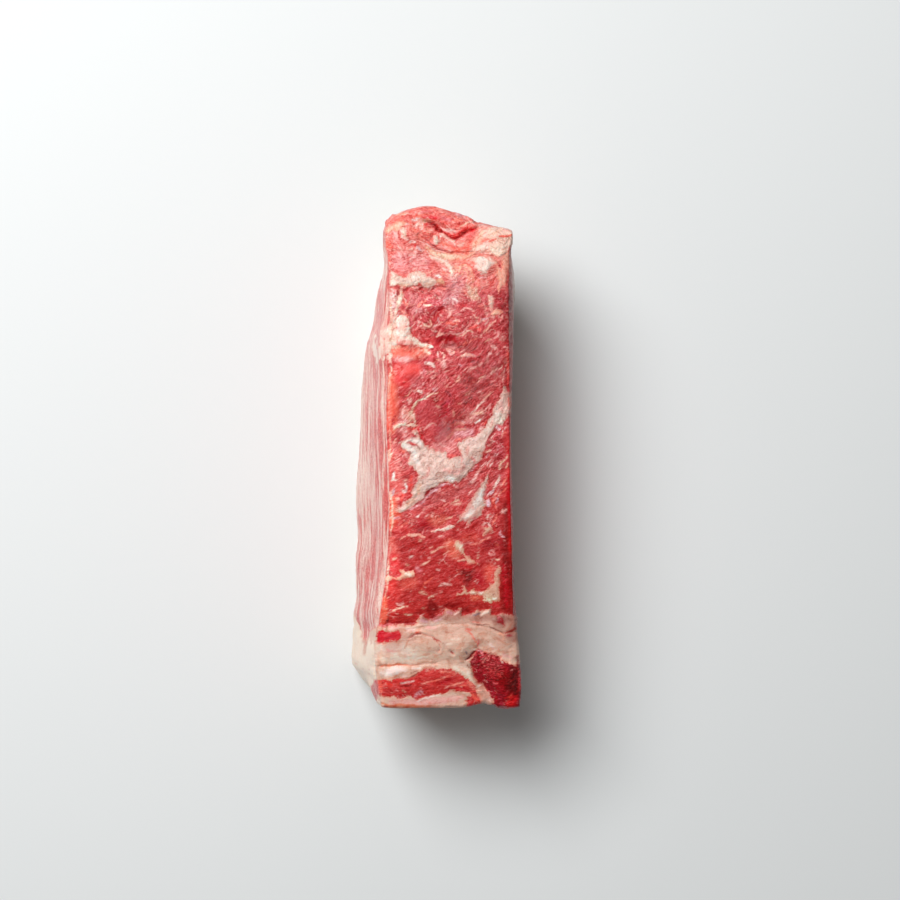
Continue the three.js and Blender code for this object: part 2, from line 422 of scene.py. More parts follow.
    def dabs(self, rows):
        """Many small changes of colour: each a colour, a half width, then x and y of its points in turn."""
        for colour, half, *numbers in rows:
            points = np.reshape(numbers, (-1, 2))
            if len(points) == 1:
                points = points + [[0, 0], [0.01, 0]]
            half_widths = [0.6 * half, 1.05 * half, 1.05 * half, 0.5 * half]
            self.tint(points, half_widths, colour, soft=0.12 + 0.5 * half, strength=0.95)

    def marbles(self, rows):
        """How thick the fine marbling is: each a density, how soft, then x, y and half width in turn."""
        for density, soft, *numbers in rows:
            points = np.reshape(numbers, (-1, 3))
            near, value = self.soft_line(points[:, :2], points[:, 2], soft)
            self.marbling[near] += (density - self.marbling[near]) * smooth(value, -soft, soft)

    def shade(self, points, half, red, rest, soft):
        """Makes an area deeper or paler, both for the meat's own colour and for painted light and shade: a
        factor for red, and one for green and blue.
        """
        near, value = self.soft_line(points, [half, half], soft)
        self.tone[near] *= 1 + (np.array([red, rest, rest]) - 1) * smooth(value, -soft, soft)[:, None]

    def creases(self, rows):
        """Grooves, with painted shade at their bottoms: each a half width, a depth, how dark the painted
        shade at its bottom is, the height of the lips beside it, then x and y of its points in turn."""
        for half_width, depth, dark, lip, *numbers in rows:
            near, value = self.line_field(np.reshape(numbers, (-1, 2)), [0.0, 0.0], margin=half_width * 4)
            self.rise[near] -= depth * np.exp(-((value / half_width) ** 2))
            self.rise[near] += lip * np.exp(-(((-value - 2 * half_width) / half_width) ** 2))
            bottom = np.exp(-((value / (0.6 * half_width)) ** 2))
            self.gap[near] = np.maximum(self.gap[near], dark * bottom)

    def mounds(self, rows):
        """Swellings: each x and y of its middle, how long and wide it is, its height and its turn."""
        for x, y, length, width, rise, turn in rows:
            dx, dy = (self.places - (x, y)).T
            angle = math.radians(turn)
            along = (dx * math.cos(angle) + dy * math.sin(angle)) / length
            across = (dy * math.cos(angle) - dx * math.sin(angle)) / width
            self.rise += rise * np.exp(-(along ** 2) - across ** 2) * (self.below == 0)


def lay_ground(s):
    """Lean and marbling all over, changing along the length."""
    y = s.co[:, 1]
    places = [-104, -90, -64, -45, -20, 15, 40, 62, 66, 98]
    colours = [srgb(200, 60, 58), srgb(204, 62, 58), srgb(190, 46, 44), srgb(192, 48, 48),
               srgb(200, 56, 56), srgb(194, 54, 56), srgb(192, 50, 54), srgb(200, 66, 70),
               srgb(224, 108, 102), srgb(230, 116, 106)]
    for channel in range(3):
        s.lean_colour[:, channel] = np.interp(y, places, [c[channel] for c in colours])
    s.ground[:] = s.lean_colour
    places, marbling = [-104, -66, -40, -10, 20, 42, 64, 98], [0.1, 0.05, 0.1, 0.3, 0.4, 0.6, 0.7, 0.6]
    s.marbling = np.interp(y, places, marbling)


def fibre_slope(y):
    """How steeply the fibres rise to the right, across the upper side."""
    return np.interp(y, [-100, -70, -45, -15, 10, 40, 62, 80], [0.1, 0.16, 0.36, 0.48, 0.75, 0.7, 0.4, 0.1])


def torn_part(s):
    """How torn the upper side is, from 0 to 1: near the chine end its muscle is pulled apart."""
    return np.clip(swell(s.co[:, 1], 55, 15) + swell(s.co[:, 1], 90, 12), 0, 1) * (1 - s.side)


def grain(s):
    """Coordinates that run along the fibres, then across them, then down, a little swirled."""
    x, y, z = s.co.T
    across = y.copy()
    for _ in range(6):
        across = y - x * fibre_slope(across)
    swirl = np.array([noise.noise_vector(Vector(c) * 0.17) for c in s.co])
    return np.column_stack([x, across, z]) + (1.2 + 2.0 * torn_part(s))[:, None] * swirl


def chine_end(s):
    """The end lobe, folded over a dark gap, with fat swirled round it."""
    s.dabs([
        # rim of the flap, from the left round the tip
        (CORAL, 0.9, -22.8, 90.6, -21, 91, -20, 92, -19.2, 91.6), (SALMON, 0.6, -24.8, 90.4, -24, 88.8),
        (SALMON, 0.6, -23.4, 93.2, -21.2, 93.2), (PEACH, 0.8, -20.8, 94, -17.4, 94.6),
        (SALMON, 0.6, -8, 96.6, -5, 96.4, -2, 96), (ROSE, 0.5, -12, 95.4, -8, 95.6),
        (SCARLET, 0.9, -3.6, 92, -1.4, 90.6), (ROSE, 1.2, -3, 93, 1, 92), (CORAL, 0.8, 1, 91.6, 4.4, 91.8),
        (LILAC, 0.45, 2.2, 94.6, 4, 93.9, 6, 93.2), (SHELL, 0.8, 8, 91.6, 12, 89.8, 14.6, 89.6),
        (CORAL, 0.5, 10.4, 90.6, 13, 90.7),
        # left swirl
        (WHITE, 0.5, -15.2, 91.9, -14.3, 91.6, -13.2, 92.2, -12.3, 92.7, -11.2, 92.4),
        (BRICK, 0.45, -16.6, 91.6, -15.8, 91.9), (CORAL, 0.6, -16.6, 90.3, -14.2, 90),
        (CORAL, 0.7, -16, 88.6, -13.4, 87.6), (WHITE, 0.5, -18.6, 90.8, -17.2, 90.2),
        (PINK_WHITE, 0.4, -19.5, 88, -19.3, 86.4, -19, 84.9, -18, 84.4, -16.9, 83.8),
        (WHITE, 0.35, -18, 86.2), (BEIGE, 0.6, -23.4, 88.4, -21, 88.8), (PINK, 1.6, -22, 86.4, -21.4, 83.6),
        (CORAL, 1.0, -25.4, 83.2, -25, 82, -23.8, 81.2), (SHELL, 0.3, -21.4, 82.4, -20.6, 81.6, -19.4, 80.9),
        (RED, 0.45, -15.2, 81.3, -13.8, 81.6, -12.9, 82.1), (PINK_WHITE, 0.8, -15.8, 83.2, -13.8, 83.4),
        (LILAC, 0.7, -12.6, 81.2, -11.4, 80.2), (SALMON, 0.8, -13, 86, -10.4, 84.2),
        (PINK_WHITE, 0.7, -13.3, 89.6, -12, 90.8, -11.4, 89.6, -11.4, 88.5),
        (TAN, 0.4, -9.4, 88.5, -7.6, 87.8), (PEACH, 0.35, -9.2, 86.9, -8.3, 86.7),
        (WINE, 0.3, -8.2, 84.6, -7.2, 85.7),
        # the fold itself: the maroon line in it is painted shade
        (MAROON, 0.4, -6, 89, -5, 88, -4.2, 87.3, -2.8, 86.4),
        (SHELL, 0.5, -5.2, 90.3, -4.4, 89.3, -3.3, 88.6, -2, 88.3, 0.4, 88.2, 1.8, 87.8),
        (PEACH, 0.4, 2.6, 87.8, 4, 88.8, 5.8, 90.3, 7.2, 91.2, 8.9, 91.4),
        (SCARLET, 0.35, 2.3, 89.2, 4, 90.1, 4.8, 90.6), (PINK, 0.5, 6.4, 86, 8.6, 86.6, 9.6, 87),
        (WHITE, 0.3, -3.8, 85.3, -2.6, 85.3, -1.4, 84.6, 0.2, 83.7, 1.3, 82.8, 2.4, 82),
        (PINK, 0.6, -3.4, 81.3, -1, 80.8), (SHELL, 0.4, 2.6, 83.4, 4.4, 83),
        # crescent under the fold: its thin wine line is painted shadow
        (WINE, 0.22, -10.1, 84.5, -8.5, 83.3, -7.4, 82.4, -6.1, 81.7, -4.8, 80.9, -3.5, 80.1, -2.1, 79.5,
         -0.4, 78.9),
        (SHELL, 0.35, -9.6, 82.6, -6.5, 80.5, -4, 79.4, -1.5, 78.4),
        (CORAL, 0.6, -7.9, 79.6, -5.2, 78.9, -2.8, 78, -0.6, 77.2),
        (SHELL, 0.6, -7.4, 77, -4.5, 76, -2.8, 75.1, -0.6, 74.4, 0.3, 72.5, 0.2, 70.6),
        (PEACH, 0.5, 3, 77.4, 5.6, 78.2, 8.2, 78.9, 9.4, 80), (PEACH, 1.0, 1, 76.4, 6, 76.8),
        # right fat corner
        (CREAM, 1.7, 15.6, 87.6, 18.6, 87.2), (PEACH, 1.0, 13, 80.4, 15.6, 79),
        (CORAL, 0.4, 19.8, 85.3, 21, 85.5, 22.2, 85.6, 24.2, 86.2),
        # pink lean left of the middle
        (SALMON, 0.6, -24.6, 78, -23.9, 74), (ROSE, 1.3, -9, 75.4, -8.6, 72.4),
        (BRICK, 0.4, -5.8, 71, -8, 69.8), (PINK, 0.8, -4.2, 74.4, -2.8, 73.2),
        (SALMON, 0.8, -3, 70.8, -1, 70.4),
    ])
    s.fat_patch([-7.2, 84.5, -6.2, 86, -5, 86.1, -4.4, 85, -4.8, 83.4, -5.4, 82.8, -6.6, 83.2],
                (236, 200, 190), lift=0.4)
    s.fat_patch([13.5, 85, 15, 88.6, 18, 89.6, 24.8, 89, 25.2, 84, 23, 79, 19.5, 77.4, 15.4, 79.4],
                (244, 208, 190), lift=0.25)
    s.marbles([(0.5, 3, -14, 90, 10, 0, 86, 9, 20, 84, 7)])
    s.lean_tints([
        ((236, 166, 150), 3, 0.9, 10, 84, 5, 20, 82, 6),
        ((232, 146, 132), 2.5, 0.8, 0, 76, 2.4, 10, 76, 3, 20, 72, 3),
        ((228, 126, 124), 2, 0.9, -20, 75, 3.4, -12, 75, 3.4),
    ])
    s.dabs([
        (CORAL, 0.4, 19.8, 85.3, 21, 85.5, 22.2, 85.6, 24.2, 86.2),
        (SALMON, 0.45, 15.4, 83.3, 16.4, 83.6, 18.3, 84.3), (SHELL, 0.9, 21.8, 88.2, 23.4, 87.8),
        (BRICK, 0.7, 24.6, 82.6, 24, 80, 23.4, 77),
    ])
    # the cream ridge across the left half, the knob at the right and the loops between them
    s.fat_patch([-23.6, 71.8, -21.5, 70.7, -20.1, 69.8, -19, 69.3, -17.7, 69.3, -16.8, 70.2, -15.7, 71.1,
                 -13.9, 71.6, -11.9, 71.6, -10.3, 71.5, -9.5, 70.2, -8.8, 69.5, -7.7, 69.3, -6, 68.6,
                 -5.2, 67.4, -6.2, 66.2, -7.4, 65.2, -10.1, 64.8, -11.2, 65.3, -12.1, 66.8, -13, 66.2,
                 -15.4, 65.6, -18.3, 65.2, -21, 65.6, -23.6, 65.8], (238, 202, 188), lift=0.2,
                runs_down=2)
    s.dabs([
        (PEACH, 0.5, -21, 66.2, -18.4, 65.8, -16, 66), (BEIGE, 0.9, -9.4, 66.6, -7, 66.8),
        (WHITE, 0.8, -14.6, 69.4, -12.4, 69.4), (WHITE, 0.6, -5.8, 70, -4.6, 69.4, -4.2, 68.4),
        (BRICK, 0.35, -7.5, 69.2, -6.8, 69),
        (CRIMSON, 0.35, -21.2, 65.6, -19.7, 64.4, -18.5, 63.9, -17.2, 63.9, -16.6, 64.5, -15.6, 65.1),
        (CRIMSON, 0.6, -12.4, 65, -11.6, 64.2, -11, 63), (WINE, 0.4, -6.3, 65.6, -6.6, 64.2),
        (MAROON, 0.4, -2.8, 65.1, -1.5, 65.4, -0.6, 66.2), (CRIMSON, 0.6, 10, 71.2, 10.8, 70.4, 11.2, 69.4),
        (BROWN, 0.25, 13, 69.6, 15, 69.5), (LILAC, 0.4, 11.8, 69.1, 14.6, 68.8),
        (SCARLET, 0.3, 5.4, 74.1, 6.7, 74.1, 8.2, 73.6, 8.9, 72.5, 9.6, 71.4, 10, 70.7),
        (SALMON, 0.4, 5.3, 75.4, 8.2, 75.6, 9.4, 74.4),
        (PEACH, 0.3, 3.6, 71.6, 4, 72.7, 4.9, 73.5, 6, 73.5, 7.1, 73.2, 8, 72.2, 8.5, 70.7, 8.5, 68.9,
         8.2, 67),
        (BRICK, 0.25, 3.9, 72, 3.9, 70.2), (CRIMSON, 0.5, 1.5, 74.4, 2.6, 73.6),
        (BEIGE, 1.3, 6.8, 65.8, 8.4, 63.6), (TAN, 1.0, 10.2, 64.6, 10.6, 62.8),
        (SALMON, 0.9, 10.6, 67.8, 11.4, 65.6), (SCARLET, 1.3, 16, 66.4, 17.6, 68.6),
        (BEIGE, 1.3, 19.6, 71.6, 20.6, 69, 20.8, 67.4), (CRIMSON, 0.4, 19.5, 73.9, 20.2, 73),
        (SHELL, 0.35, 20.8, 73.6, 21.1, 72.6), (WINE, 0.35, 21.4, 71, 21.6, 70.2),
        # along the right ridge: painted shade in brick, maroon and wine, where it turns away from the lamp
        (BRICK, 0.9, 22.6, 75, 22.6, 66), (MAROON, 0.35, 23.2, 77, 23.2, 74.8),
        (WINE, 0.35, 23.4, 74, 23.6, 71.6), (WINE, 0.35, 23.1, 67, 23.7, 65),
    ])
    s.fat_patch([9.2, 76.9, 11, 77.2, 13.2, 77, 15, 76.4, 17.4, 76.1, 18.3, 75, 17, 74, 16.2, 73.2,
                 15.4, 71.4, 14.4, 70.4, 13, 70.4, 11.6, 71, 10.6, 72.2, 9.8, 73.6, 10, 75],
                (246, 220, 208), lift=0.4)


def coarse_muscle(s):
    """Torn, coarsely marbled muscle with deep red hollows, their red partly painted shade, below the cream
    ridge.
    """
    s.marbles([(0.3, 1.5, 20, 62, 2.6, 21.6, 57, 2.6)])
    s.lean_tints([
        ((218, 134, 136), 2, 0.8, 0, 60, 3, 3, 66, 3),
        ((214, 116, 116), 2, 0.8, -13, 57, 2.4, -14, 60, 2.4),
        ((208, 62, 62), 1.5, 0.8, -13, 46, 2.4, -8, 44, 2),
        ((172, 28, 34), 1.2, 0.8, 20, 62, 2.6, 21.6, 57, 2.6),
    ])
    s.dabs([
        (SHELL, 0.4, -21.6, 63.5, -21.6, 60.5), (CORAL, 0.8, -18.6, 59.2, -17, 58.6),
        (ROSE, 1.0, -16.4, 62.6, -13.8, 60.8), (SALMON, 0.35, 5.5, 64.2, 6.4, 62.9, 6.9, 61.8),
        (WHITE, 0.5, 1.3, 60.5, 3.2, 59.6), (CRIMSON, 0.7, 7.2, 59.4, 9, 58.6),
        (SHELL, 0.6, 15.8, 62.2, 16.7, 60.9, 16.8, 58.6, 16.7, 57, 17, 55.4),
        (SHELL, 0.6, 17, 54.6, 17.6, 53), (TAN, 0.6, 18.2, 55.8, 20, 55.6, 21.4, 55.2),
        (TAN, 0.45, 20.2, 53.2, 21.2, 52.7), (MAROON, 0.5, 22.9, 61.2, 23.3, 59.8),
        (SALMON, 0.8, -19.4, 55.6, -18.2, 54.8), (ROSE, 0.7, -15.5, 52.4, -15, 50.2),
        (SHELL, 0.5, -12.6, 51.6, -11.6, 50.4), (PEACH, 0.5, -11.4, 49.4, -10.2, 49.8, -8.2, 49.2),
        (LILAC, 0.6, -4.8, 52.6, -4.4, 51), (SHELL, 0.45, -4.2, 53.9, -3, 53.4),
        (SHELL, 0.3, -7, 48.9, -6.6, 49.6, -5.5, 50.2, -4.1, 50.4),
        (SHELL, 0.6, -0.2, 56.4, 0.1, 54.4, -0.5, 52.8), (CORAL, 0.7, 0.5, 53, 1.5, 52.6),
        (RED, 1.0, 4, 58, 7.6, 57.8), (SHELL, 0.28, 5.3, 56.2, 6, 56.7, 7.5, 56.7, 8.9, 56.5, 9.3, 56),
        (SHELL, 0.28, 2.4, 52.7, 3.5, 52.2, 4.2, 51.3), (ROSE, 0.22, 11, 53.6, 13.6, 54.3),
        (LILAC, 0.35, 12.5, 52.3, 13.8, 52.4, 15.4, 52.6), (SHELL, 0.28, 9.6, 51, 10.3, 52),
        (SHELL, 0.28, 10.8, 51, 11.5, 50.6, 12.2, 51.3, 12.4, 51.9),
        (PEACH, 0.22, 13.5, 47.1, 14.2, 47.8, 15.3, 48.7, 15.8, 49.5, 16.9, 50.4, 17.6, 50.9, 18.5, 51.6),
        (SHELL, 0.22, 0.4, 46.5, 1.6, 46.3, 3.1, 46.2, 4.5, 46.6, 5.5, 47.3, 6, 48.4, 6.7, 49.3, 7.6, 49.7),
        (BEIGE, 0.25, 2.4, 45.6, 4.7, 45.6, 5.8, 46.3, 6.4, 47.4, 6.9, 47.8, 8.2, 47.6, 9.3, 47.1),
        (PINK, 0.25, 6.8, 49.9, 9.1, 50), (SCARLET, 0.9, 7.8, 49, 10.5, 49.3, 12.4, 48),
        (SHELL, 0.55, 12.4, 45.2, 12.8, 46.5), (SHELL, 0.4, 18, 47.6, 18, 46.8),
        (PEACH, 0.22, 14, 42.9, 14.7, 43.6, 15.6, 44, 16.4, 44.7), (SHELL, 0.8, 17.2, 41.6, 18.2, 40.6),
        # the crimson is painted shade along the right ridge
        (CRIMSON, 0.8, 22.4, 48, 22.5, 42), (PEACH, 0.18, 23.7, 49.4, 24.1, 46.2, 24.3, 43.6),
        (SALMON, 0.22, 5.2, 42.5, 6, 42.9, 7, 43.3, 9.7, 44.2, 10.8, 44.6),
        (SHELL, 0.8, -0.8, 41.2, 1.2, 41),
    ])
    s.marbles([(0.0, 1, -7, 43, 2.4, 1, 43, 2.4)])
    # the hollow in the middle: deep red, partly painted shade in it
    s.lean_tints([((186, 30, 42), 1.2, 0.7, -4.6, 43.6, 1.8, 0.6, 43.6, 2)])
    s.tint([(-4.6, 43.3), (-2.6, 42.6), (-0.2, 43.1), (1.8, 42.4)], [0.8, 1.4, 1.1, 0.5], (158, 0, 14),
           soft=0.6)
    s.tint([(-3.2, 41.6), (-2.2, 41.2)], [0.6, 0.6], (158, 0, 14), soft=0.5)
    s.fat_line([(-19.4, 63.6), (-20, 61), (-21, 57.6), (-22, 54), (-22.6, 50)], [0.7, 1.1, 0.9, 0.9, 0.9],
               (240, 206, 190), lift=0.2, runs_down=6)
    s.fat_patch([-22.6, 49.6, -21.7, 52, -20.8, 53, -19.5, 53.8, -18.5, 53.7, -17, 52.5, -16.3, 51.5,
                 -15.9, 49.8, -15.7, 48.4, -15.4, 46.9, -14.3, 45.6, -12.8, 44.4, -11.7, 43.1, -10.3, 42.7,
                 -8, 42, -7, 41, -10, 40.8, -13, 41.7, -15.5, 42, -17.5, 42, -20, 42.4, -22.4, 41.6,
                 -23.6, 41, -23.7, 45], (248, 222, 208), lift=0.15, runs_down=0.5)
    s.marbles([(0.12, 1.5, -20, 50, 2.4, -20, 44, 2.4, -12, 42, 0.8)])
    s.tint([(-23.2, 64), (-23, 58), (-23.4, 50)], [0.7, 1.0, 0.8], (236, 184, 176), soft=0.8)
    s.fat_line([(-22.6, 52), (-23.6, 48), (-25, 42), (-26, 37.4), (-26.4, 33)], [0.7, 1.2, 2.2, 2.6, 1.6],
               (246, 218, 204), lift=0.2, runs_down=9)
    s.dabs([
        (SHELL, 0.8, -21, 43, -17.6, 43.4, -15, 43), (WHITE, 0.7, -20.4, 51, -21, 47),
        (PEACH, 0.6, -11.6, 41.2, -8.6, 41.2), (TAN, 0.18, -22.6, 48.6, -23.4, 45.4, -24.1, 41),
    ])


def eye_middle(s):
    """The eye muscle between the torn part and the fat patch."""
    s.marbles([
        (0.04, 1.6, -20, 38, 3.6, -15, 33, 4, -21, 24, 3.4, -23, 10, 2.2), (0.1, 1.6, -10, 15, 5, -4, 8, 5),
    ])
    s.lean_tints([
        ((246, 116, 98), 1.6, 0.95, -22, 39.4, 2.2, -14, 39, 2.2, -10, 39.6, 1.4),
        ((245, 86, 82), 2.0, 0.9, -21, 32, 2.6, -14, 32.4, 2.2),
        # orange at the left edge: partly the muscle's colour, partly painted light glowing through the thin
        # edge
        ((248, 118, 94), 1.6, 0.95, -24, 29, 2.2, -23.4, 20, 2.4, -23.8, 8, 1.6),
        ((232, 60, 60), 1.6, 0.9, -20.6, 28, 1.8, -18, 27, 1.8),
        ((206, 88, 90), 2.4, 0.6, -12, 27, 3, -3, 28, 3),
        ((192, 52, 58), 2.4, 0.7, 2, 24, 3, 10, 28, 3),
        ((190, 50, 56), 2.4, 0.7, 16, 34, 3, 21, 38, 3),
        # smooth dark muscle, with its deepest red at the right
        ((198, 70, 74), 1.6, 0.95, -10, 15, 4.4, -4, 11, 4.4),
        ((168, 26, 38), 1.6, 0.9, -1, 19, 2.0, -2.2, 13.6, 2.4, -4.6, 5, 1.6),
    ])
    s.dabs([
        (PINK, 1.3, -21.4, 36.4, -18, 36.6, -15.4, 36.6), (PEACH, 0.9, -23, 41, -20.4, 41.2),
        (CRIMSON, 0.7, -19.2, 26.5, -16.8, 26.3), (SHELL, 0.7, -12.8, 23.8, -11.4, 22.8),
        (SHELL, 0.5, -15.8, 20.8, -15.2, 20.4),
        (PINK_WHITE, 0.55, -9.6, 34.9, -8.4, 34.7, -7.2, 34.2, -6.5, 33.4),
        (PINK, 0.5, -11.8, 31.6, -11, 31.2), (ROSE, 0.7, -9.8, 32, -8.8, 31.6),
        (PEACH, 0.9, -10.2, 40, -8.6, 38.6), (SHELL, 0.45, -4.9, 39.4, -4.8, 37.6),
        (SHELL, 1.5, -2.7, 35, -2.5, 33.2), (WINE, 0.9, -1.2, 23.4, 0.4, 22),
        (LILAC, 0.55, -6.6, 24.4, -5.8, 24),
        (PEACH, 0.3, -9.7, 20.5, -8.8, 21.5, -7.4, 22.3, -5.5, 22.7, -4.5, 23.2),
        (SHELL, 0.3, -7.6, 28.7, -5.8, 28.6), (LILAC, 0.75, 6, 37.5, 7.5, 37.8, 8.8, 38),
        (SHELL, 0.4, 9.6, 38, 10, 37.3), (SHELL, 0.35, 4.4, 39.3, 5.6, 39.7, 6.6, 40.5),
        (WINE, 1.2, 9.2, 35.4, 9.7, 34.9),
        (SHELL, 0.4, 7.3, 32, 8.5, 32.4, 9.6, 32.7, 10.7, 33.5, 11.8, 34.4, 12.9, 35.2),
        (SHELL, 0.45, 14, 34.7, 14.9, 36, 15.5, 37.3, 16, 38.6, 16.8, 38.4),
        (CREAM, 0.3, 16.7, 30.5, 17.6, 31.3, 18.5, 32.2, 19.8, 32.7, 20.7, 33.5, 21.1, 34.1),
        (PEACH, 0.3, 9.1, 27.1, 10.4, 26.9, 11.3, 27.6, 11.8, 28.5, 12.9, 29.4, 14.1, 29.6),
        (PEACH, 0.5, 2.3, 27.4, 3.2, 28.4, 4.2, 29.5), (TAN, 0.6, 6.2, 21.8, 7.2, 22.3, 7.9, 23.4),
        (SHELL, 0.45, 11.2, 22.7, 12.2, 23.2, 13, 22.9),
        (PEACH, 0.3, 12.9, 20.4, 14.4, 21.3, 15.5, 22, 16.2, 22.7, 17.4, 23.3),
        (SHELL, 0.25, 21.8, 32.8, 21.6, 31, 21.3, 28.9, 21.1, 26),
        (PINK, 0.25, 20, 29.6, 19.9, 27, 19.7, 25), (SCARLET, 0.7, 23.2, 39, 23.2, 26),
        (SHELL, 0.45, 21.8, 41.2, 22.8, 41), (SHELL, 0.9, -0.6, 40, 0.8, 38.4),
        (LILAC, 0.45, 3.6, 34.4, 4.4, 33.8),
    ])


def bone_fat_patch(s):
    """The whitish patch of fat and sinew that lay against the bone, and what runs out of it."""
    s.lean_tints([
        ((234, 96, 90), 2, 0.9, -24, 2, 2, -22.6, -8, 3, -21.6, -16, 3),
        # orange at the left edge: partly the muscle's colour, partly painted light glowing through the thin
        # edge
        ((246, 104, 80), 1.4, 0.9, -23, -20, 1.6, -22.4, -26, 2.4, -23, -30, 1.6),
        ((226, 126, 122), 1, 0.9, -18.6, 8, 2.2, -17, 6, 1.8),
        ((228, 142, 130), 1, 0.9, -18, 14.6, 2.2, -16, 13, 2),
        ((228, 132, 128), 1, 0.9, -6, 0.6, 2, 0, 1.6, 2.4),
        ((218, 140, 144), 1, 0.9, 3, 6.4, 1.4, 8, 7, 1.6),
        ((208, 112, 106), 1.2, 0.9, 8, 13, 2.2, 12, 14, 1.8),
        ((190, 52, 58), 2, 0.7, 18, 4, 3, 21, -4, 3),
        ((192, 66, 64), 2, 0.7, -6, -20, 2, 2, -17, 2.2, 8, -12, 1.2),
    ])
    s.dabs([
        # stripes beside the left ridge, and the pale net by the dark muscle
        (SALMON, 0.5, -23.6, 18, -24.2, 11, -24.8, 7), (CORAL, 0.6, -22.6, 20, -22.2, 15.6, -21.8, 12.4),
        (CRIMSON, 0.55, -22, 13.6, -22.5, 12, -22.8, 10, -23.6, 8.4),
        (SHELL, 0.8, -16.6, 20, -15.8, 19.4, -16.2, 18.6), (SHELL, 0.5, -18.6, 17.7, -18, 17.2),
        (PINK, 0.35, -20, 13.7, -18.4, 12.4, -17.2, 11.7),
        (PINK, 0.35, -20.4, 12.2, -18.8, 11.2, -17.6, 10.9), (TAN, 0.9, -16, 15, -15.6, 11.8),
        (BEIGE, 0.45, -13.8, 10.8, -14.2, 12, -14.7, 13.6, -15.2, 14.8, -15, 16.2, -14.2, 17.4, -13.4, 18.8,
         -12.4, 19.6, -11, 20, -9.6, 20.4),
        (RED, 0.7, -13, 10, -12.4, 7.4, -11.4, 5.2, -10.4, 4.2),
        (SCARLET, 0.5, -16.4, 8.3, -15, 8.6, -13.6, 8.8), (PINK_WHITE, 0.45, -17.8, 7.4, -17.2, 7),
        # the smooth dark muscle's markings
        (MAROON, 0.5, -1.4, 8, -0.2, 8.8, 0.2, 7.4),
        (CRIMSON, 1.0, -0.8, 18.6, -1.6, 16.4, -1.4, 11, -2.6, 7),
        (SHELL, 0.35, -10.3, 8.4, -9.2, 9.4, -8, 10.2, -7, 10.6, -5.2, 10.3),
        (ROSE, 0.7, -9, 4.4, -8.2, 4.2), (TAN, 0.3, -5.8, 17.5, -4.6, 17, -3.8, 17.4),
        (MAROON, 0.8, 5.4, 18.8, 6.2, 19.2, 7.4, 20.2, 8.4, 21.4),
        (TAN, 0.4, 1.2, 15.8, 1.6, 14.6, 1.2, 13.4),
    ])
    s.fat_patch([21.2, 26, 22.2, 25, 23.2, 23.4, 25, 21.4, 25.2, 15, 23.4, 14.2, 22.8, 12.6, 21.6, 11.4,
                 21, 10.4, 19.4, 10.2, 18.2, 10, 17.3, 9, 16.6, 7.6, 15.4, 5, 14.6, 2.4, 13.8, 0.2,
                 13.2, -1.4, 12.2, -4, 11, -5.2, 9, -7.2, 7, -9.6, 5.6, -11.4, 4.2, -12.5, 3.6, -13.2,
                 2.4, -12.4, 1.6, -13.2, 0.8, -13.6, -0.6, -12.8, -2.2, -12.6, -3.6, -13.4, -4.6, -14.4,
                 -6.4, -15.2, -8.2, -16.2, -9.4, -17.6, -10.4, -19.4, -12.4, -20.9, -14.8, -22.6,
                 -17.2, -23.8, -19, -24.9, -21.6, -24.7, -22.9, -24, -21, -23.4, -19.4, -22.3, -17.2, -20.6,
                 -16, -19.4, -15.2, -18, -15.8, -16.6, -14, -13.4, -13, -11.6, -12.6, -10.4, -13.1, -9,
                 -14.2, -7.6, -14.8, -6.4, -16.8, -6, -17.2, -5.4, -16.4, -4, -16.4, -2, -16.8, -1,
                 -18, -0.4, -19.4, 0.8, -20, 1.8, -19.8, 3.2, -18, 4.4, -15, 4.7, -13.4, 5, -14.8, 6.2,
                 -15.2, 7, -14, 7.7, -13.1, 7.6, -12.6, 6.4, -11.8, 4.6, -10.4, 3.2, -9.6, 2, -8.8, 0.8,
                 -7.4, 0.9, -6.2, 0.2, -5.4, -0.3, -4.4, 0, -3.2, -0.6, -2, -0.8, -1.2, -3.2, -0.2, -3.5,
                 1.2, -3, 3.6, -2, 4.5, -1.2, 4, 0, 3.2, 1, 2.6, 2.4, 3.6, 2.8, 5.6, 4.4, 7.6, 5.4, 9.4, 5.7,
                 10.4, 6, 11.6, 7, 12.8, 8.2, 14, 9, 14.6, 10.4, 15, 11.6, 15.9, 12.6, 16.4, 14, 16.8, 15.4,
                 17, 16.6, 17.8, 17.8, 19, 19.6, 19.6, 21, 20.4, 23, 21, 24.6], (230, 196, 184),
                lift=0.14)
    s.fat_line([(-22.7, 8.2), (-21.6, 9.4), (-20.2, 10), (-18, 10), (-15.6, 10), (-13.8, 9.9)], [0.4, 0.7,
               0.8, 0.7, 0.8, 0.6], (240, 208, 190))
    s.fat_line([(1.8, 9.6), (2.4, 10.3), (3.4, 10.7), (5, 10.5), (6, 10.2)], [0.3, 0.45, 0.4, 0.3], (232,
               164, 150))
    s.fat_line([(-1, 5), (0, 6), (1.4, 7.2), (2.8, 8), (4.4, 8.3), (6.2, 8.2)], [0.6, 0.6, 0.7, 0.5],
               (220, 166, 150))
    s.fat_patch([15.6, -9.4, 15.4, -11, 14.9, -13, 14.2, -14.6, 13.5, -16.4, 13.4, -18.4, 13.6, -20,
                 14, -21.8, 13.2, -22.9, 12.6, -24.4, 12.2, -25.6, 11.4, -26.8, 9.6, -28.2, 8.8, -29,
                 7.8, -30.8, 6.8, -30.8, 7.3, -29.4, 7.2, -28.4, 5.4, -27.9, 4.4, -28.4, 3, -29.3,
                 2.6, -28.8, 4.8, -25.8, 7.6, -20.8, 9.2, -18.2, 11, -16, 12.4, -13.8, 13.8, -12.2,
                 15, -10.8], (220, 176, 164), lift=0.15)
    s.fat_patch([14.2, -19.8, 14, -21.2, 14.4, -22.3, 15.6, -22.6, 16.1, -22.2, 15.6, -20.9, 15.2, -19.6],
                (238, 190, 200), lift=0.15)
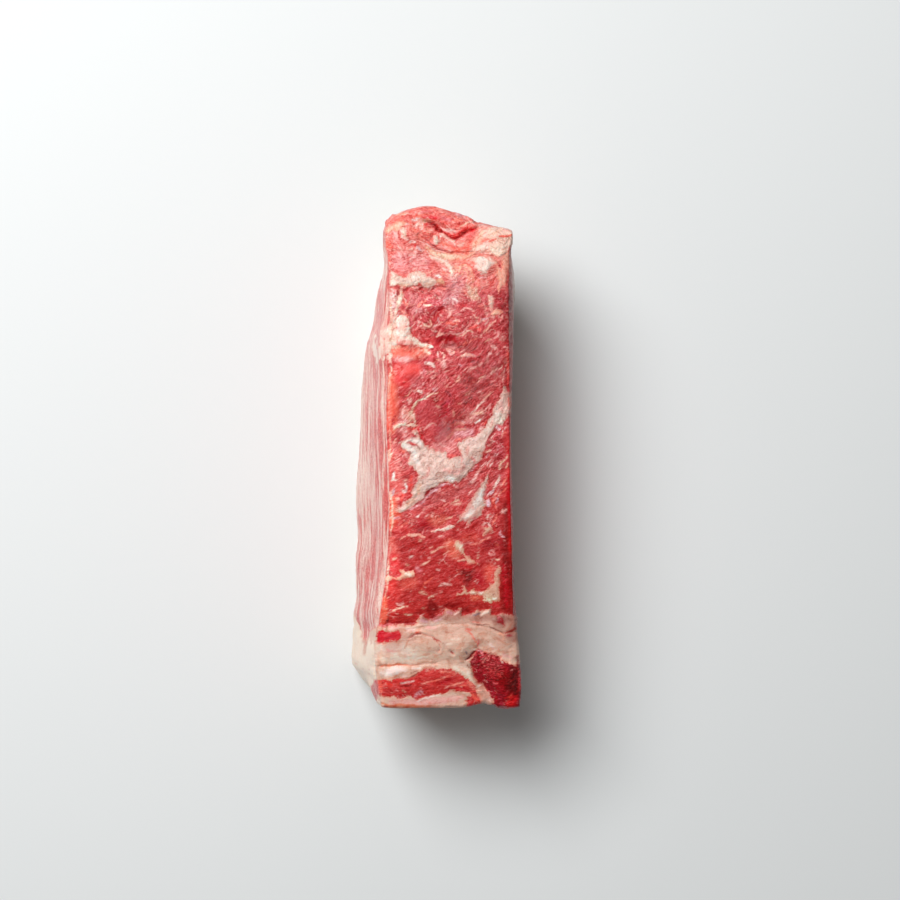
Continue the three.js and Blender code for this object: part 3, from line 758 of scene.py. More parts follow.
    s.dabs([
        # colours within the patch
        (WHITE, 1.3, -18, 1.6, -14.6, 0, -13.6, -3.4, -12.6, -5.4),
        (WHITE, 0.8, -16.8, 4.2, -13.4, 3.8, -11.4, 2), (SHELL, 0.7, -11, -11, -9, -9.6, -8.4, -7),
        (SHELL, 1.2, -2, -8, 3, -8.6, 5.6, -6), (PEACH, 1.2, -12, -14, -12.6, -17.4),
        (BEIGE, 1.3, -14.4, -19.8, -17, -22), (PEACH, 0.6, -22, -24.2, -20, -24.4),
        (WHITE, 0.5, -20.2, -23.2, -18.8, -22.6), (WHITE, 0.7, -1.4, -11.2, 0.2, -11.2, 2, -11.8),
        (PINK, 0.4, 8.6, -2.6, 9.8, -4.2, 9.4, -5.4), (ROSE, 0.28, 4.4, -2.2, 4.6, -3.4, 4.4, -4.8),
        (TAN, 0.35, 12, 0.6, 11.6, -2), (PINK_WHITE, 1.0, 6, 3, 9, 3.6, 11, 5),
        (SHELL, 0.9, 7.4, 1.4, 7, -1), (SHELL, 0.8, 20.4, 19, 20.6, 16.4, 21.2, 15),
        (WHITE, 0.6, 18.2, 14.6, 19.2, 14.4), (CREAM, 0.8, 22.2, 20, 22.4, 16.6),
        (SHELL, 0.7, 17.2, 12, 16, 9.6), (SALMON, 0.3, 23.6, 21, 23.8, 16),
        (TAN, 0.35, -5.4, -9.2, -3.4, -9),
        (RED, 0.35, -17.4, 3, -16.2, 2.9, -15, 2.4, -13.8, 1.9, -13.2, 1.5),
        (BROWN, 0.16, -13.2, 1.5, -12.6, 0.6, -12, 0.2),
        (WHITE, 0.9, 6.2, -28, 9, -23.4, 11.8, -18.6, 13.4, -15.6), (SHELL, 0.9, 5, -26.6, 7.6, -22.6),
        (PINK_WHITE, 0.7, 15.4, -29.6, 16.4, -32), (ROSE, 0.7, 8.8, -27.6, 10, -27.4),
        (SHELL, 0.9, 8.2, -22, 9, -23), (PEACH, 0.4, 12.6, -23, 13.5, -22),
        # lean between the patch's arms
        (SCARLET, 0.6, -0.6, -2.7, 0.6, -2.6, 1.8, -2.1), (CORAL, 0.35, 2.2, 3.4, 3.4, 3.9, 4.6, 4),
        (SHELL, 0.6, -4, 2.2, -3, 1.6),
        (CRIMSON, 0.35, 1.6, 8.9, 3, 9.2, 5, 9.3, 7.4, 9.1, 8.6, 9.5, 9.8, 10),
        (PINK_WHITE, 0.4, 4.8, 11.5, 5.6, 11.2, 6.4, 10.9), (BEIGE, 0.6, 8, 13.2, 9, 12.8),
        (PEACH, 0.6, 9.2, 14.4, 12, 14.8, 13, 15.6), (PINK_WHITE, 0.55, 10.4, 11, 11.4, 11.4, 12.2, 12.2),
        (CREAM, 0.3, 8.4, 15, 9.6, 15.6, 10.4, 16.6, 11.4, 18, 12.2, 18.9, 13, 19.9),
        (SHELL, 0.35, 14, 16, 14.8, 17.4, 15.6, 18.6), (SCARLET, 0.8, 13, 10.6, 14, 10.8),
        (SHELL, 0.4, 11.6, 7.8, 12.4, 8.4, 13.4, 8.9),
        (MAROON, 0.45, 18.2, 9.4, 17.4, 8, 16.6, 6.6, 15.8, 5, 15.3, 3.4, 14.8, 1.8),
        (LILAC, 0.9, 18.6, 9.2, 19.6, 8.4), (SHELL, 0.3, 17.8, 6.4, 16.7, 5, 16, 4),
        # lean left of the patch
        (PEACH, 0.5, -25, -5, -24.2, -3.8, -23.5, -2.4, -23, -0.8), (CORAL, 0.8, -19.8, 0.2, -18.4, -0.8),
        (PINK, 0.5, -18.8, -2.4, -18, -2, -17.6, -3), (WHITE, 0.5, -22.2, -9.2, -22.4, -10.6, -22.8, -11.8),
        (CREAM, 0.6, -23, -12, -21.4, -11.6),
        (WHITE, 0.42, -18, -13.6, -17.6, -15, -17.6, -16.2, -18.4, -16.6, -19.2, -16.2),
        (LILAC, 0.4, -22.6, -15.4, -22.8, -17, -22.8, -18.4), (SCARLET, 1.0, -18.8, -17.8, -19, -20),
        (SCARLET, 0.9, -15.6, -10.8, -15.9, -13.8, -16.6, -16.4), (PEACH, 0.5, -21.4, -19.4, -20, -19.6),
        (LILAC, 0.55, -23, -27.1, -21.8, -27.4, -20.4, -27.2),
        # the seam under the patch: its dark line partly painted shade, with painted sheen lines in lilac
        # below it
        (MAROON, 0.4, -10, -18.8, -9, -17.2, -7.6, -15.9, -6.2, -15.3, -4.4, -14.4),
        (WINE, 0.22, -13.8, -21.9, -12.6, -21.2, -11.2, -20.4, -10.2, -19.2),
        (LILAC, 0.35, -16.2, -23.8, -15, -23.2, -13.6, -22.6, -12.2, -22, -11, -21.2, -10, -20),
        (LILAC, 0.45, -9.6, -19.2, -8.8, -18.6, -7.8, -17.6, -6.8, -16.8, -5.6, -15.8, -4.6, -15,
         -3.4, -14.2, -2, -13.8, 0, -14.2),
        (TAN, 0.2, -4.2, -13.7, -3, -12.9, -1.8, -12.6, -0.6, -13),
        (MAROON, 0.5, 1.8, -13.4, 2.6, -13.7, 3.4, -13.6), (MAROON, 0.25, 4.2, -12.8, 5.2, -11.9),
        (PINK_WHITE, 0.22, 1.6, -14, 2.4, -14.6, 3.3, -14.9), (LILAC, 0.3, 10.2, -6.7, 9.2, -7.7, 8.2, -8.6),
        (BROWN, 0.2, 8.8, -7, 7.6, -8.3, 7, -9.4), (PINK, 0.3, 7, -10.1, 6.4, -11.2, 5.7, -12.2),
        # pale fibres right of the patch, running up to the ridge
        (SHELL, 0.5, 14.6, -4.8, 13.4, -6, 12.4, -7.4, 11.6, -8.4, 10.4, -9.8, 9.6, -11.8, 8.4, -13,
         7.4, -13.8),
        (SHELL, 0.5, 20, -10.4, 19.6, -11.6, 18.8, -13.2, 17.8, -14.8, 16.8, -16.6),
        (LILAC, 0.5, 14.8, -17.5, 16.4, -16.8, 17.2, -16.4),
        (SALMON, 0.35, 23.2, -10.8, 22, -12.4, 21, -13.6, 20, -14.8),
        (PEACH, 0.35, 23, -2, 22.4, -3, 21.4, -4.2, 20.6, -5, 20.2, -6.4, 20, -7.6),
        (PEACH, 0.3, 23, -5, 22.6, -6.4, 22.2, -7), (SHELL, 0.35, 18.9, -1.4, 18, -2),
        (LILAC, 0.5, 15.2, -1.2, 14.6, -2.8), (SHELL, 0.25, 17.8, -4, 17, -5.4, 16, -7),
        (SHELL, 0.25, 16.6, -3.6, 15.6, -5, 15, -6.4), (LILAC, 0.35, 18.4, -21.4, 19, -20.4, 19.4, -19.4),
        (CORAL, 0.5, 18.4, -23, 17, -20, 18.4, -17), (SALMON, 0.3, 22.6, -15.4, 21, -17, 19.8, -18.6),
    ])


def lower_middle(s):
    """The smooth red part of the eye muscle, with long pale flecks along its fibres."""
    s.marbles([
        (0.0, 1.2, 23, 8, 1.6, 22.6, -62, 2.4), (0.12, 3, -20, -40, 4, -10, -34, 5, 0, -44, 3, -18, -54, 5),
        (0.12, 3, 8, -50, 4, -6, -60, 4),
    ])
    s.lean_tints([
        ((178, 30, 38), 2.2, 0.85, -12, -30.6, 2.4, -8, -31, 2.4),
        ((216, 56, 56), 2.2, 0.8, -20, -31, 3, -17, -31, 2.4),
        ((208, 82, 64), 1.6, 0.9, -7, -28, 1.8, -3, -28, 1.8),
        ((174, 6, 18), 1.8, 0.9, -18, -39, 1.6, -15.6, -37.2, 1.6, -10.8, -38, 1.6),
        ((228, 98, 88), 1.6, 0.9, -23.4, -36, 1.8, -22.4, -41, 1.8),
        ((236, 64, 66), 1.6, 0.9, -23, -44, 2.6, -21.4, -48, 2.6),
        ((232, 104, 84), 1.8, 0.9, 0, -38, 2.2, 2, -41, 2.2),
        ((214, 70, 62), 1.6, 0.9, 6, -35, 1.6, 10, -35.4, 1.8),
        ((164, 24, 32), 2, 0.85, 15, -37, 2.2, 22, -38, 2.4),
        ((132, 8, 20), 1.8, 0.95, 6.4, -48.4, 1.8, 7.6, -50.4, 2, 6.6, -53, 1.2),
        ((182, 22, 36), 1.6, 0.8, 11.4, -51, 1.8, 12, -53, 1.4),
        ((228, 88, 76), 1.4, 0.9, 16, -47.6, 2.2, 16, -51, 1.8),
        # painted shade: deepest red along the right ridge, which turns away from the lamp
        ((150, 0, 8), 1.2, 0.95, 22.6, -44, 1.4, 22.4, -50, 1.9, 22.8, -58, 2, 23, -63, 2),
        ((222, 62, 58), 1.6, 0.85, -23, -54, 2.4, -21, -57, 2.4),
        ((224, 86, 74), 1.6, 0.85, -18, -54, 2, -15, -53, 2),
        # orange at the left edge: partly the muscle's colour, partly painted light glowing through the thin
        # edge
        ((242, 104, 80), 1.2, 0.95, -26.6, -60, 1.4, -27, -68, 1.6),
        ((136, 0, 12), 0.9, 0.95, -7.6, -61.4, 1.6, -6.6, -63, 1.8),
        ((146, 8, 24), 0.8, 0.95, -8.6, -64, 0.9, -7, -66, 1),
        ((162, 0, 14), 0.9, 0.95, -2, -62.2, 0.7, 1, -62, 0.9, 4.4, -61.4, 0.8),
        ((156, 0, 10), 0.6, 0.95, -23.6, -69, 0.4, -19, -69, 0.6, -14, -68.8, 0.5),
        ((216, 86, 68), 0.8, 0.9, 9, -58.9, 1.0, 12, -59.2, 0.8),
        ((152, 14, 26), 1, 0.9, 6, -64, 1.0, 8, -64.4, 0.8),
        # along the right ridge: painted shade in deep red, and at its very edge painted light, a saturated
        # red where light comes through
        ((146, 10, 18), 1.4, 0.85, 22.6, -22, 1.4, 22.6, -34, 1.8, 22.8, -62, 2.0),
        ((204, 18, 24), 0.8, 0.95, 24.2, 2, 0.9, 24.4, -30, 1.0, 24.8, -40, 0.9),
    ])
    s.dabs([
        (PINK_WHITE, 0.4, -13.8, -26.8, -12.8, -26.5, -12.4, -26.2),
        (SHELL, 0.45, -10, -26.6, -8.2, -25.9, -6.6, -26.6),
        (SALMON, 0.3, -20.8, -31.2, -19.8, -30.6, -18.8, -29.9, -17.6, -29.4, -16.4, -29.2),
        (PINK, 0.22, -11.2, -33.6, -10.6, -32.6, -10.2, -31.6), (TAN, 0.8, -12.6, -35.8, -11.8, -36),
        (PEACH, 0.32, -2, -27.8, -0.8, -27.5, 0.4, -27.1, 1.2, -26.7),
        (SHELL, 0.5, -4.4, -34.5, -2.8, -34.1),
        (PEACH, 0.35, -7.8, -41.2, -6.4, -40.1, -5, -39.4, -3.4, -38.9, -1, -38.4),
        (SHELL, 0.3, -3.6, -20, -2.4, -20, -1.8, -20.5), (SALMON, 0.3, -2.8, -22.2, -1.6, -21.6, 0.4, -20.8),
        (PEACH, 0.3, 0.6, -21.4, 1.8, -21, 2.8, -20.2, 3.8, -19.8),
        (PEACH, 0.3, 1.4, -22, 3, -21.6, 4.4, -20.9), (SHELL, 0.6, 22.8, -23.9, 21.4, -24.6, 20.5, -25.4),
        (SHELL, 0.3, 15.8, -25.4, 15.2, -26, 14.8, -27, 14.9, -28),
        (SALMON, 0.3, 19, -25.8, 18.6, -27, 18, -28, 17.4, -29, 17.2, -30),
        (PINK, 0.25, 17.6, -26.2, 16.6, -27.4, 16, -28.8),
        (SHELL, 0.25, 14.4, -29, 13.6, -29.8, 12.8, -30.2),
        (SALMON, 0.35, 8.4, -38.2, 9.6, -38, 10.6, -37.4, 11.6, -37, 12.6, -36.4, 13.6, -35.8, 14.8, -35,
         15.6, -34.5),
        (LILAC, 0.45, 20.4, -32.5, 20, -33.6, 20.8, -34.2, 21.8, -34.4),
        (PINK, 0.3, 21.6, -36.2, 22.2, -36.2), (BRICK, 0.9, 18.4, -37.6, 19.4, -38.4),
        (PINK, 0.35, 16.2, -40.6, 17, -40.6, 17.7, -41.4, 17.2, -42.2, 16.2, -42.2, 15.8, -41.4),
        (PEACH, 0.28, 18, -43.8, 18.8, -43.8, 19.7, -43.7), (TAN, 0.5, 11.4, -42.2, 10.8, -43.4),
        (PEACH, 0.45, 19.2, -46.2, 20, -47), (PINK, 0.28, 6, -37.6, 8, -37.2, 9.6, -36.9),
        (PINK, 0.3, 8, -29.7, 7.2, -30.3, 6.6, -31),
        (PINK_WHITE, 0.35, -16.2, -42.9, -15.2, -42.4, -14.8, -42.2), (LILAC, 0.3, -12, -43, -11.2, -42.6),
        (TAN, 0.7, -17.2, -45.8, -16.6, -46), (PEACH, 0.35, -23.2, -44, -22.2, -43.6, -21.4, -43.2),
        (PEACH, 0.3, -11.6, -46.4, -10.4, -45.7, -9.4, -45.2, -8, -44.5),
        (SHELL, 0.4, -8.6, -43.4, -8, -43.4), (ROSE, 1.4, -13, -47.6, -12, -48.6),
        (SHELL, 0.5, -5.4, -47.8, -4, -48),
        (CORAL, 0.28, -11.2, -56, -10.8, -55, -10.2, -53.8, -9.2, -52.8, -8.2, -51.8, -7, -50.8),
        (SHELL, 0.42, -4.4, -54.6, -3.6, -53.9, -1.6, -53.5, 0.5, -53.8),
        (TAN, 0.6, -12.2, -56.9, -10.8, -57.1, -9.4, -57.7),
        (PEACH, 0.4, -8.8, -59.3, -7.6, -58.7, -6.4, -58.5), (PEACH, 0.3, -24.8, -59.4, -24, -59),
        (SHELL, 0.6, -21.4, -61.2, -20, -61.6, -18.8, -61.3),
        (PEACH, 0.42, -22.8, -64.3, -21.6, -63.8, -20.2, -63.2, -18.8, -62.6, -16.8, -62.3),
        (BEIGE, 0.45, -25.8, -63.6, -25, -63.6), (TAN, 0.4, -18.2, -65.8, -16.6, -65.8, -15.4, -65.7),
        (TAN, 0.55, -10.8, -63.4, -10.3, -63), (SHELL, 0.4, -12.1, -66.5, -10.7, -65.6),
        (RED, 1.0, 17, -62.6, 19.6, -62.4),
    ])
    # the largest flecks and the branched seams
    s.fat_line([(-20, -35.6), (-19.2, -34.9), (-18.2, -34), (-17.2, -33.7), (-15.8, -34.3), (-14.4, -33.9),
               (-12.8, -33.9), (-11.6, -34.3), (-10.2, -34.8)], [0.3, 0.45, 0.35, 0.4, 0.8, 0.45, 0.5, 0.6,
               0.4], (238, 190, 172))
    s.fat_line([(-7, -32.6), (-6, -32.2), (-4.6, -31.6), (-2.6, -31.6), (-0.8, -31.2), (0.6, -30.7),
               (1.8, -30.4)], [0.25, 0.55, 0.6, 0.6, 0.5, 0.3], (240, 208, 196), lift=0.2)
    s.fat_patch([13, -31.4, 14, -31, 15.4, -30.6, 16.6, -30.9, 17.2, -31.6, 17, -32.7, 15.8, -33,
                 14.6, -33.4, 13.4, -33.9, 13, -33, 13.5, -32.2], (224, 172, 152), lift=0.15)
    s.fat_patch([2, -36.6, 3, -36, 4.2, -36.4, 5, -37.6, 5.4, -38.6, 5.3, -40, 5.4, -41.4, 6.4, -42.2,
                 8, -43.2, 8.9, -44, 9.9, -44.5, 11.1, -45, 10.4, -45.9, 9.2, -46.4, 7, -46.7, 5.9, -46.4,
                 6.6, -45.2, 6.2, -44.4, 4.4, -44.4, 2.7, -44.1, 4.2, -43.8, 5.9, -43.7, 6, -43, 4.6, -41.8,
                 3, -40.4, 1.7, -39.2, 1.5, -37.8], (228, 176, 154), lift=0.25)
    s.fat_patch([-26.6, -49.9, -24.8, -50.2, -22.6, -50.6, -20.8, -50.5, -19.4, -49.6, -20.3, -48.4,
                 -19.2, -47.7, -18, -48.2, -16.8, -48.7, -14.8, -48.5, -14.2, -49.4, -13.9, -50.8,
                 -15.8, -51.3, -18, -51.5, -20.2, -51.9, -22.4, -51.5, -24.2, -52, -27, -53],
                (238, 182, 160), lift=0.3, runs_down=2)
    s.fat_patch([19.2, -47, 20.6, -47.4, 20.7, -48.6, 20, -50, 19.8, -53, 19.6, -56, 20.2, -58.6, 20.2, -60,
                 18.6, -60.4, 17, -60.6, 16.4, -61.6, 15, -61.2, 13.2, -60.8, 13.4, -59, 12.2, -58, 9, -57.9,
                 5.6, -57.9, 3.4, -58.7, 2, -58.9, 2.4, -57.9, 4.4, -57.4, 5.4, -56.6, 4.8, -54.6, 5.6, -54,
                 6.4, -55.4, 7.4, -56.8, 8.6, -56, 10, -55.8, 11.2, -56.5, 12.4, -56.6, 14, -55.7, 15.2, -55,
                 15.8, -53.8, 17.2, -53.2, 18, -51, 18, -49.6], (216, 168, 146), lift=0.25)
    s.dabs([
        (CREAM, 0.6, 4.4, -38.6, 3.6, -39.8), (ROSE, 0.7, 4, -37.2, 4.8, -37.6),
        (TAN, 0.6, 7.4, -43, 7.8, -43.8), (CREAM, 0.9, -17.6, -49.7, -16, -50),
        (WHITE, 0.4, 11.8, -57, 13, -57.1), (CREAM, 0.45, 8, -57.2, 10, -57),
        (BROWN, 0.4, 17, -58, 17.9, -57.6), (WHITE, 0.45, 17.4, -59.5, 18.4, -59.2),
    ])


def tail(s):
    """The thick fat band before the tail, the flank strip below it and the dark muscle at the corner."""
    s.fat_patch([-31, -71.2, -28, -70.2, -26.4, -70.9, -24.4, -70.3, -22.6, -69.8, -20, -69.7, -17, -69.8,
                 -14, -69.4, -13.2, -67.8, -12.4, -66.9, -11.2, -66.5, -10, -67.1, -8.6, -67.7, -7, -67.8,
                 -5.6, -67.3, -4, -66.4, -2.8, -65.4, -1.6, -63.7, -0.4, -63.7, 2, -64.4, 4.6, -63.2,
                 4.8, -66, 6.6, -66.4, 8, -65.9, 10, -64.2, 10.8, -63.3, 11.6, -64.6, 13.4, -64.3,
                 15.8, -63.1, 16.2, -65.6, 17.4, -66, 18.8, -66.4, 20.4, -65.6, 22.4, -65.8, 24.6, -65.9,
                 26, -66.4, 30.5, -68, 31, -90, 31, -106, 0, -106, -31, -106, -33, -90], (224, 184, 164),
                lift=0.8, runs_down=99)
    s.fat_tint([(-27, -80), (-17, -81)], [3.6, 3.6], (246, 222, 206), soft=2.4, strength=0.95)
    s.fat_tint([(-11, -67.6), (-1, -66.4), (10, -66.6), (22, -67.6)], [1.0, 1.6, 1.8, 1.6], (186, 128,
               112), soft=1.4, strength=0.85)
    s.lean_patch([-29.8, -73.6, -28.4, -72.2, -27.2, -71.6, -25.6, -72.3, -24.4, -72.9, -23, -72.6,
                  -21.8, -72.1, -20.4, -72.1, -19.6, -72.8, -19.9, -74, -20.3, -75.2, -21.2, -76,
                  -22.4, -76.3, -24.4, -76.6, -26.4, -77, -29.8, -77], (222, 36, 46), runs_down=1)
    s.lean_patch([18.6, -67, 19.6, -66.6, 20.6, -67.4, 21.6, -69, 21.4, -70, 20.2, -69.6, 19, -68.4],
                 (190, 44, 50))
    s.dabs([
        # the fat band
        (LILAC, 0.9, -11.6, -68, -9.4, -68.4), (LILAC, 0.8, -1, -64.9, 0.6, -65.1),
        (LILAC, 0.7, -6, -68.2, -3, -67.6), (CREAM, 0.45, 2, -65.4, 3.4, -65),
        (CREAM, 0.3, -14, -69.7, -11, -69.7, -8, -69.7, -4, -69.3, 2, -68.9),
        (PINK_WHITE, 1.0, -17, -71.4, -14.6, -71.6), (PEACH, 0.7, -13, -72, -10, -72.2),
        (SHELL, 1.0, -9, -70.8, -6, -71.2), (SHELL, 0.9, -24, -70.8, -21, -70.8),
        (ROSE, 0.35, -28.4, -70, -26.8, -70.6, -25.4, -70.2, -24, -69.9),
        (SLATE, 0.3, 9.4, -66, 10.6, -65.8, 11.8, -65.4),
        (CREAM, 0.5, 12.4, -66, 13.8, -65.2, 15, -64.4, 15.7, -64.6),
        (BROWN, 0.16, 8.6, -69.1, 10.6, -69.5, 12.6, -69.9, 14.2, -69.9, 15.6, -69.9),
        (SALMON, 0.35, 9, -68.5, 12, -68.8),
        (BROWN, 0.18, 15.6, -70.2, 16.8, -70.9, 18.2, -71.6, 19.6, -72.2, 21.2, -73.1),
        # the band's right end, where it curves down, and the right edge: painted shade in tan and brick, with
        # a brick shadow arc
        (TAN, 1.0, 23, -71, 24.6, -69),
        (BRICK, 0.45, 22, -73.3, 23.4, -73, 24.6, -72.2, 25.6, -71.2, 26.2, -70.4),
        (ROSE, 0.8, 23.4, -74.6, 24.8, -74.4), (BRICK, 0.5, 25.8, -58, 26, -70),
        (PEACH, 0.5, 18.6, -73, 20, -73.2, 21, -74, 21.4, -75, 21.2, -75.8),
        (TAN, 0.4, 17.6, -74, 19, -75, 20.2, -76.2, 21.6, -77.2, 23, -77.6, 24.4, -77.2),
        (SALMON, 0.6, 6.6, -71.4, 7.8, -71.7),
        (SALMON, 0.25, 5.8, -72, 6.6, -72.5, 7.6, -72.7, 8.4, -73.1, 9, -74, 9.4, -75, 9.8, -76, 10.4, -77,
         10.8, -78, 11.4, -78.7),
        (ROSE, 0.28, 11, -76, 11.4, -77.6), (TAN, 1.1, 12.6, -73.6, 14.4, -73.6),
        (TAN, 0.4, -2, -72.7, 0.6, -72.6), (CREAM, 0.9, 1, -75.8, 1.8, -75.8),
        (CREAM, 0.9, 3.4, -75.6, 4.2, -75.6), (CREAM, 0.7, -1.2, -77.8, 0.6, -77.6),
        (BEIGE, 2.2, -12.4, -76.6, -9.4, -76.8),
        # a crease in the band: its dark brown line is partly painted shade, and the orange on its lip is a
        # painted highlight
        (BROWN, 0.28, -15.9, -75, -15, -74.4, -14, -73.8, -13, -73.6, -11.8, -73.6),
        (CORAL, 0.3, -14.2, -73.2, -13.2, -72.9, -12, -73),
        (TAN, 0.4, -16.2, -75.4, -16.8, -76.4, -17.2, -77.6, -17.8, -79),
        (BRICK, 0.22, -7.2, -74.9, -6.4, -75.4, -5.6, -76, -4.6, -76.2, -3.6, -76.8),
        (BROWN, 0.25, -2.6, -77, -2.4, -78.6), (CREAM, 0.8, -13, -83.4, -9.4, -82.8),
        (SHELL, 0.9, -25, -80, -22, -80.6), (BROWN, 0.28, 0.3, -81, 0.8, -81.6),
        (SLATE, 0.4, 6.4, -80.2, 6.8, -81.6), (TAN, 0.25, 21, -81.2, 23, -80.6, 25, -80),
        (SHELL, 1.1, 21.6, -82, 24.4, -83), (PINK_WHITE, 1.0, 16, -77.6, 17.6, -79),
        (BRICK, 0.3, 26.5, -82, 26.6, -85),
        # the line across and the white ridge under it
        (TERRACOTTA, 0.35, -28, -86.7, -27, -86.2, -25.6, -85.9, -23, -85.9, -20.4, -85.9, -18.2, -86.1,
         -16.6, -86),
        (TAN, 0.3, -16.6, -86, -14, -85.7, -11.6, -85.2, -8.4, -84.7, -6.4, -84.6),
        (WHITE, 1.4, -27, -89.2, -24.4, -88.8, -21.4, -88.1, -18.4, -87.8),
        (WHITE, 0.5, -15.6, -87.2, -12, -86.9),
        (TAN, 0.22, -27.4, -91.5, -25, -91.4, -23.4, -91, -22, -90.4, -20.6, -89.8, -19.2, -89.1,
         -15.8, -88.7),
        (PINK_WHITE, 0.35, -19.4, -90.3, -18, -90.3, -16.6, -90),
        (BROWN, 0.18, -15.8, -89, -14.2, -88.5, -12.6, -88),
        (CREAM, 1.2, 2, -86.8, 4.4, -87, 6.4, -88.2, 7.6, -90),
        (BROWN, 0.15, 6.8, -85.4, 7.6, -86.4, 8.4, -87.2),
        # fat under the flank
        (SHELL, 1.2, -24, -100.4, -14, -100.8, 0, -99.6, 5, -98.6),
        (TERRACOTTA, 0.55, -27.6, -100.8, -26.4, -101.7, -24.6, -102.2, -21, -101.8, -18, -102.2,
         -14, -102.2, -10, -102.4, -4, -102.8),
        (BRICK, 0.2, -26.6, -102.4, -24, -102.8, -20, -102.9),
        (WHITE, 0.35, -13.2, -100.3, -11, -99.5, -9.4, -99, -7, -98.3, -4, -98),
    ])
    # flank strip
    s.lean_patch([-33, -88, -31.4, -88.4, -30.6, -89.6, -30, -91.6, -28.6, -92, -27, -92, -25, -92.2,
                  -23.6, -92.1, -22.6, -91.3, -20.6, -91.1, -17.4, -91.1, -16, -90.9, -14.6, -90.4,
                  -13.2, -89.8, -12.2, -88.9, -10.6, -87.9, -9.4, -87.4, -8, -87.1, -4, -87.4, 0, -87.8,
                  1.6, -88.4, 3, -88.9, 4.4, -89.8, 7, -91.6, 9.2, -93.2, 10, -94, 10.8, -97, 11.4, -98.6,
                  12.6, -102, 13, -106, 7, -106, 7, -101, 6.2, -100.3, 7.6, -99.8, 7, -99, 8.4, -98,
                  8, -96.9, 6, -96.4, 2.6, -96.2, 2.2, -95.4, 0.8, -95.6, -2.4, -97, -4, -97.4, -6, -97.5,
                  -9.4, -98.4, -12.4, -99.4, -13.8, -99.7, -14.8, -98.8, -16.2, -98.2, -19, -99, -20.6, -99,
                  -22, -98.4, -25.6, -98.6, -28, -97.6, -33, -97.6], (204, 54, 52), runs_down=17)
    s.lean_patch([8.4, -84.4, 8.8, -83.4, 9.9, -81.2, 10.6, -80.4, 11.6, -79.9, 12.6, -80.6, 13.6, -81.2,
                  15.6, -81.5, 16.4, -82, 17.4, -81.6, 18.2, -82, 20.2, -82.6, 20.5, -83.8, 22, -84.4,
                  23, -85.2, 24, -85.9, 26, -86.5, 27, -85.4, 31, -85, 31, -106, 17.8, -106, 17, -101,
                  17.2, -100, 17, -99, 16.2, -97.8, 15.4, -96.6, 14.4, -95.6, 13.4, -94.6, 13, -93.6,
                  12, -93.1, 11.2, -92.9, 10.8, -91.8, 10, -90.9, 9.6, -89.8, 9, -87.4, 8.8, -86],
                 (154, 18, 34), runs_down=34)
    s.marbles([
        (0.6, 1, 14, -84, 4, 18, -90, 4), (0.15, 1, 24, -92, 4, 22, -98, 4),
    ])
    s.lean_tints([
        ((100, 0, 4), 2, 0.95, 26, -88, 2, 25, -94, 3, 26, -96, 2),
        ((206, 26, 22), 1.4, 0.9, 24.6, -99.6, 2, 24, -102, 2),
        ((176, 60, 68), 2, 0.7, 17, -84, 2.4, 18, -88, 3),
    ])
    s.dabs([
        (CORAL, 0.9, -28.2, -92.8, -28, -95, -27.6, -97), (SCARLET, 1.0, -25.6, -93.6, -24, -94),
        (MAROON, 0.35, -19.8, -94.4, -18, -94.5, -16.8, -94.7, -15.4, -93.6),
        (PINK_WHITE, 0.38, -19.8, -93.5, -18, -93.1, -16.4, -92.8, -14.6, -92.2),
        (SALMON, 0.35, -21.6, -93.5, -20.8, -93.3), (PINK, 0.4, -21.6, -95.6, -20.6, -96),
        (TAN, 0.5, -18.8, -96, -17.8, -96.8), (CRIMSON, 0.7, -21, -98, -19, -98.2),
        (BROWN, 0.15, -16.4, -90.8, -15, -90.4, -13.6, -89.8, -12.4, -89),
        (LILAC, 0.9, -14, -98.4, -12, -96.9, -11, -96.6), (CORAL, 0.6, -8.6, -88.2, -7.4, -88.6),
        (SALMON, 0.8, -3.6, -88.4, 1.6, -89.4), (CRIMSON, 0.7, -4, -93.4, -1, -92.2, 1.4, -91.5),
        (SALMON, 0.4, -2, -94.9, 1, -94, 3, -93.4, 5.2, -92.8),
        (CRIMSON, 0.35, -2, -95.7, 0.6, -95, 3, -95, 5.6, -95.1, 7.6, -95.6),
        (CORAL, 0.5, 4, -94.2, 6.4, -94.4),
        (SALMON, 0.3, -11.8, -93.8, -9, -92.8, -6, -92, -3.4, -91.2, -1.2, -90.6, 0, -90),
        (SALMON, 0.7, 7.4, -92.6, 9, -94.2, 10, -96), (CORAL, 0.7, 8.6, -97, 10, -99, 12, -101),
        (PEACH, 0.5, 10.9, -96, 11.4, -98, 12.6, -100), (WHITE, 0.6, 11.5, -94, 12.2, -94),
        (PINK_WHITE, 0.6, 15.6, -99.4, 15.8, -100.4),
        # dark muscle at the corner
        (MAROON, 0.35, 6.8, -83.7, 8, -83, 8.8, -82.3, 9.4, -81.4, 10.3, -80.3),
        (LILAC, 0.6, 11.2, -80.2, 12.6, -80.6, 13.2, -82), (ROSE, 0.8, 9.6, -84.6, 10.2, -83.4),
        (SHELL, 0.28, 14.4, -87.2, 15.6, -86.8), (PINK, 0.25, 15.8, -89, 16.6, -87.9),
        (ROSE, 0.25, 17.8, -89.5, 19.4, -89.6, 20.4, -90.4, 21.3, -91.2),
        (SHELL, 0.28, 13.4, -91.8, 14, -92.2, 14.7, -92.8), (ROSE, 0.3, 17, -92.8, 18.2, -93.6, 19.4, -93.2),
        (CREAM, 0.32, 20.7, -84, 21, -84.7, 21.2, -85.3), (PINK, 0.32, 24.1, -88.3, 24.7, -87.8),
        (CORAL, 0.5, 23.6, -98.8, 24.4, -98), (SALMON, 0.3, 22.7, -99.9),
        (RED, 0.35, 27.1, -87, 27.7, -92, 28, -97, 27.9, -101), (PINK, 0.25, 16.9, -82.7, 18.2, -81.9),
        (CRIMSON, 0.8, 18.6, -97, 18.6, -100),
    ])


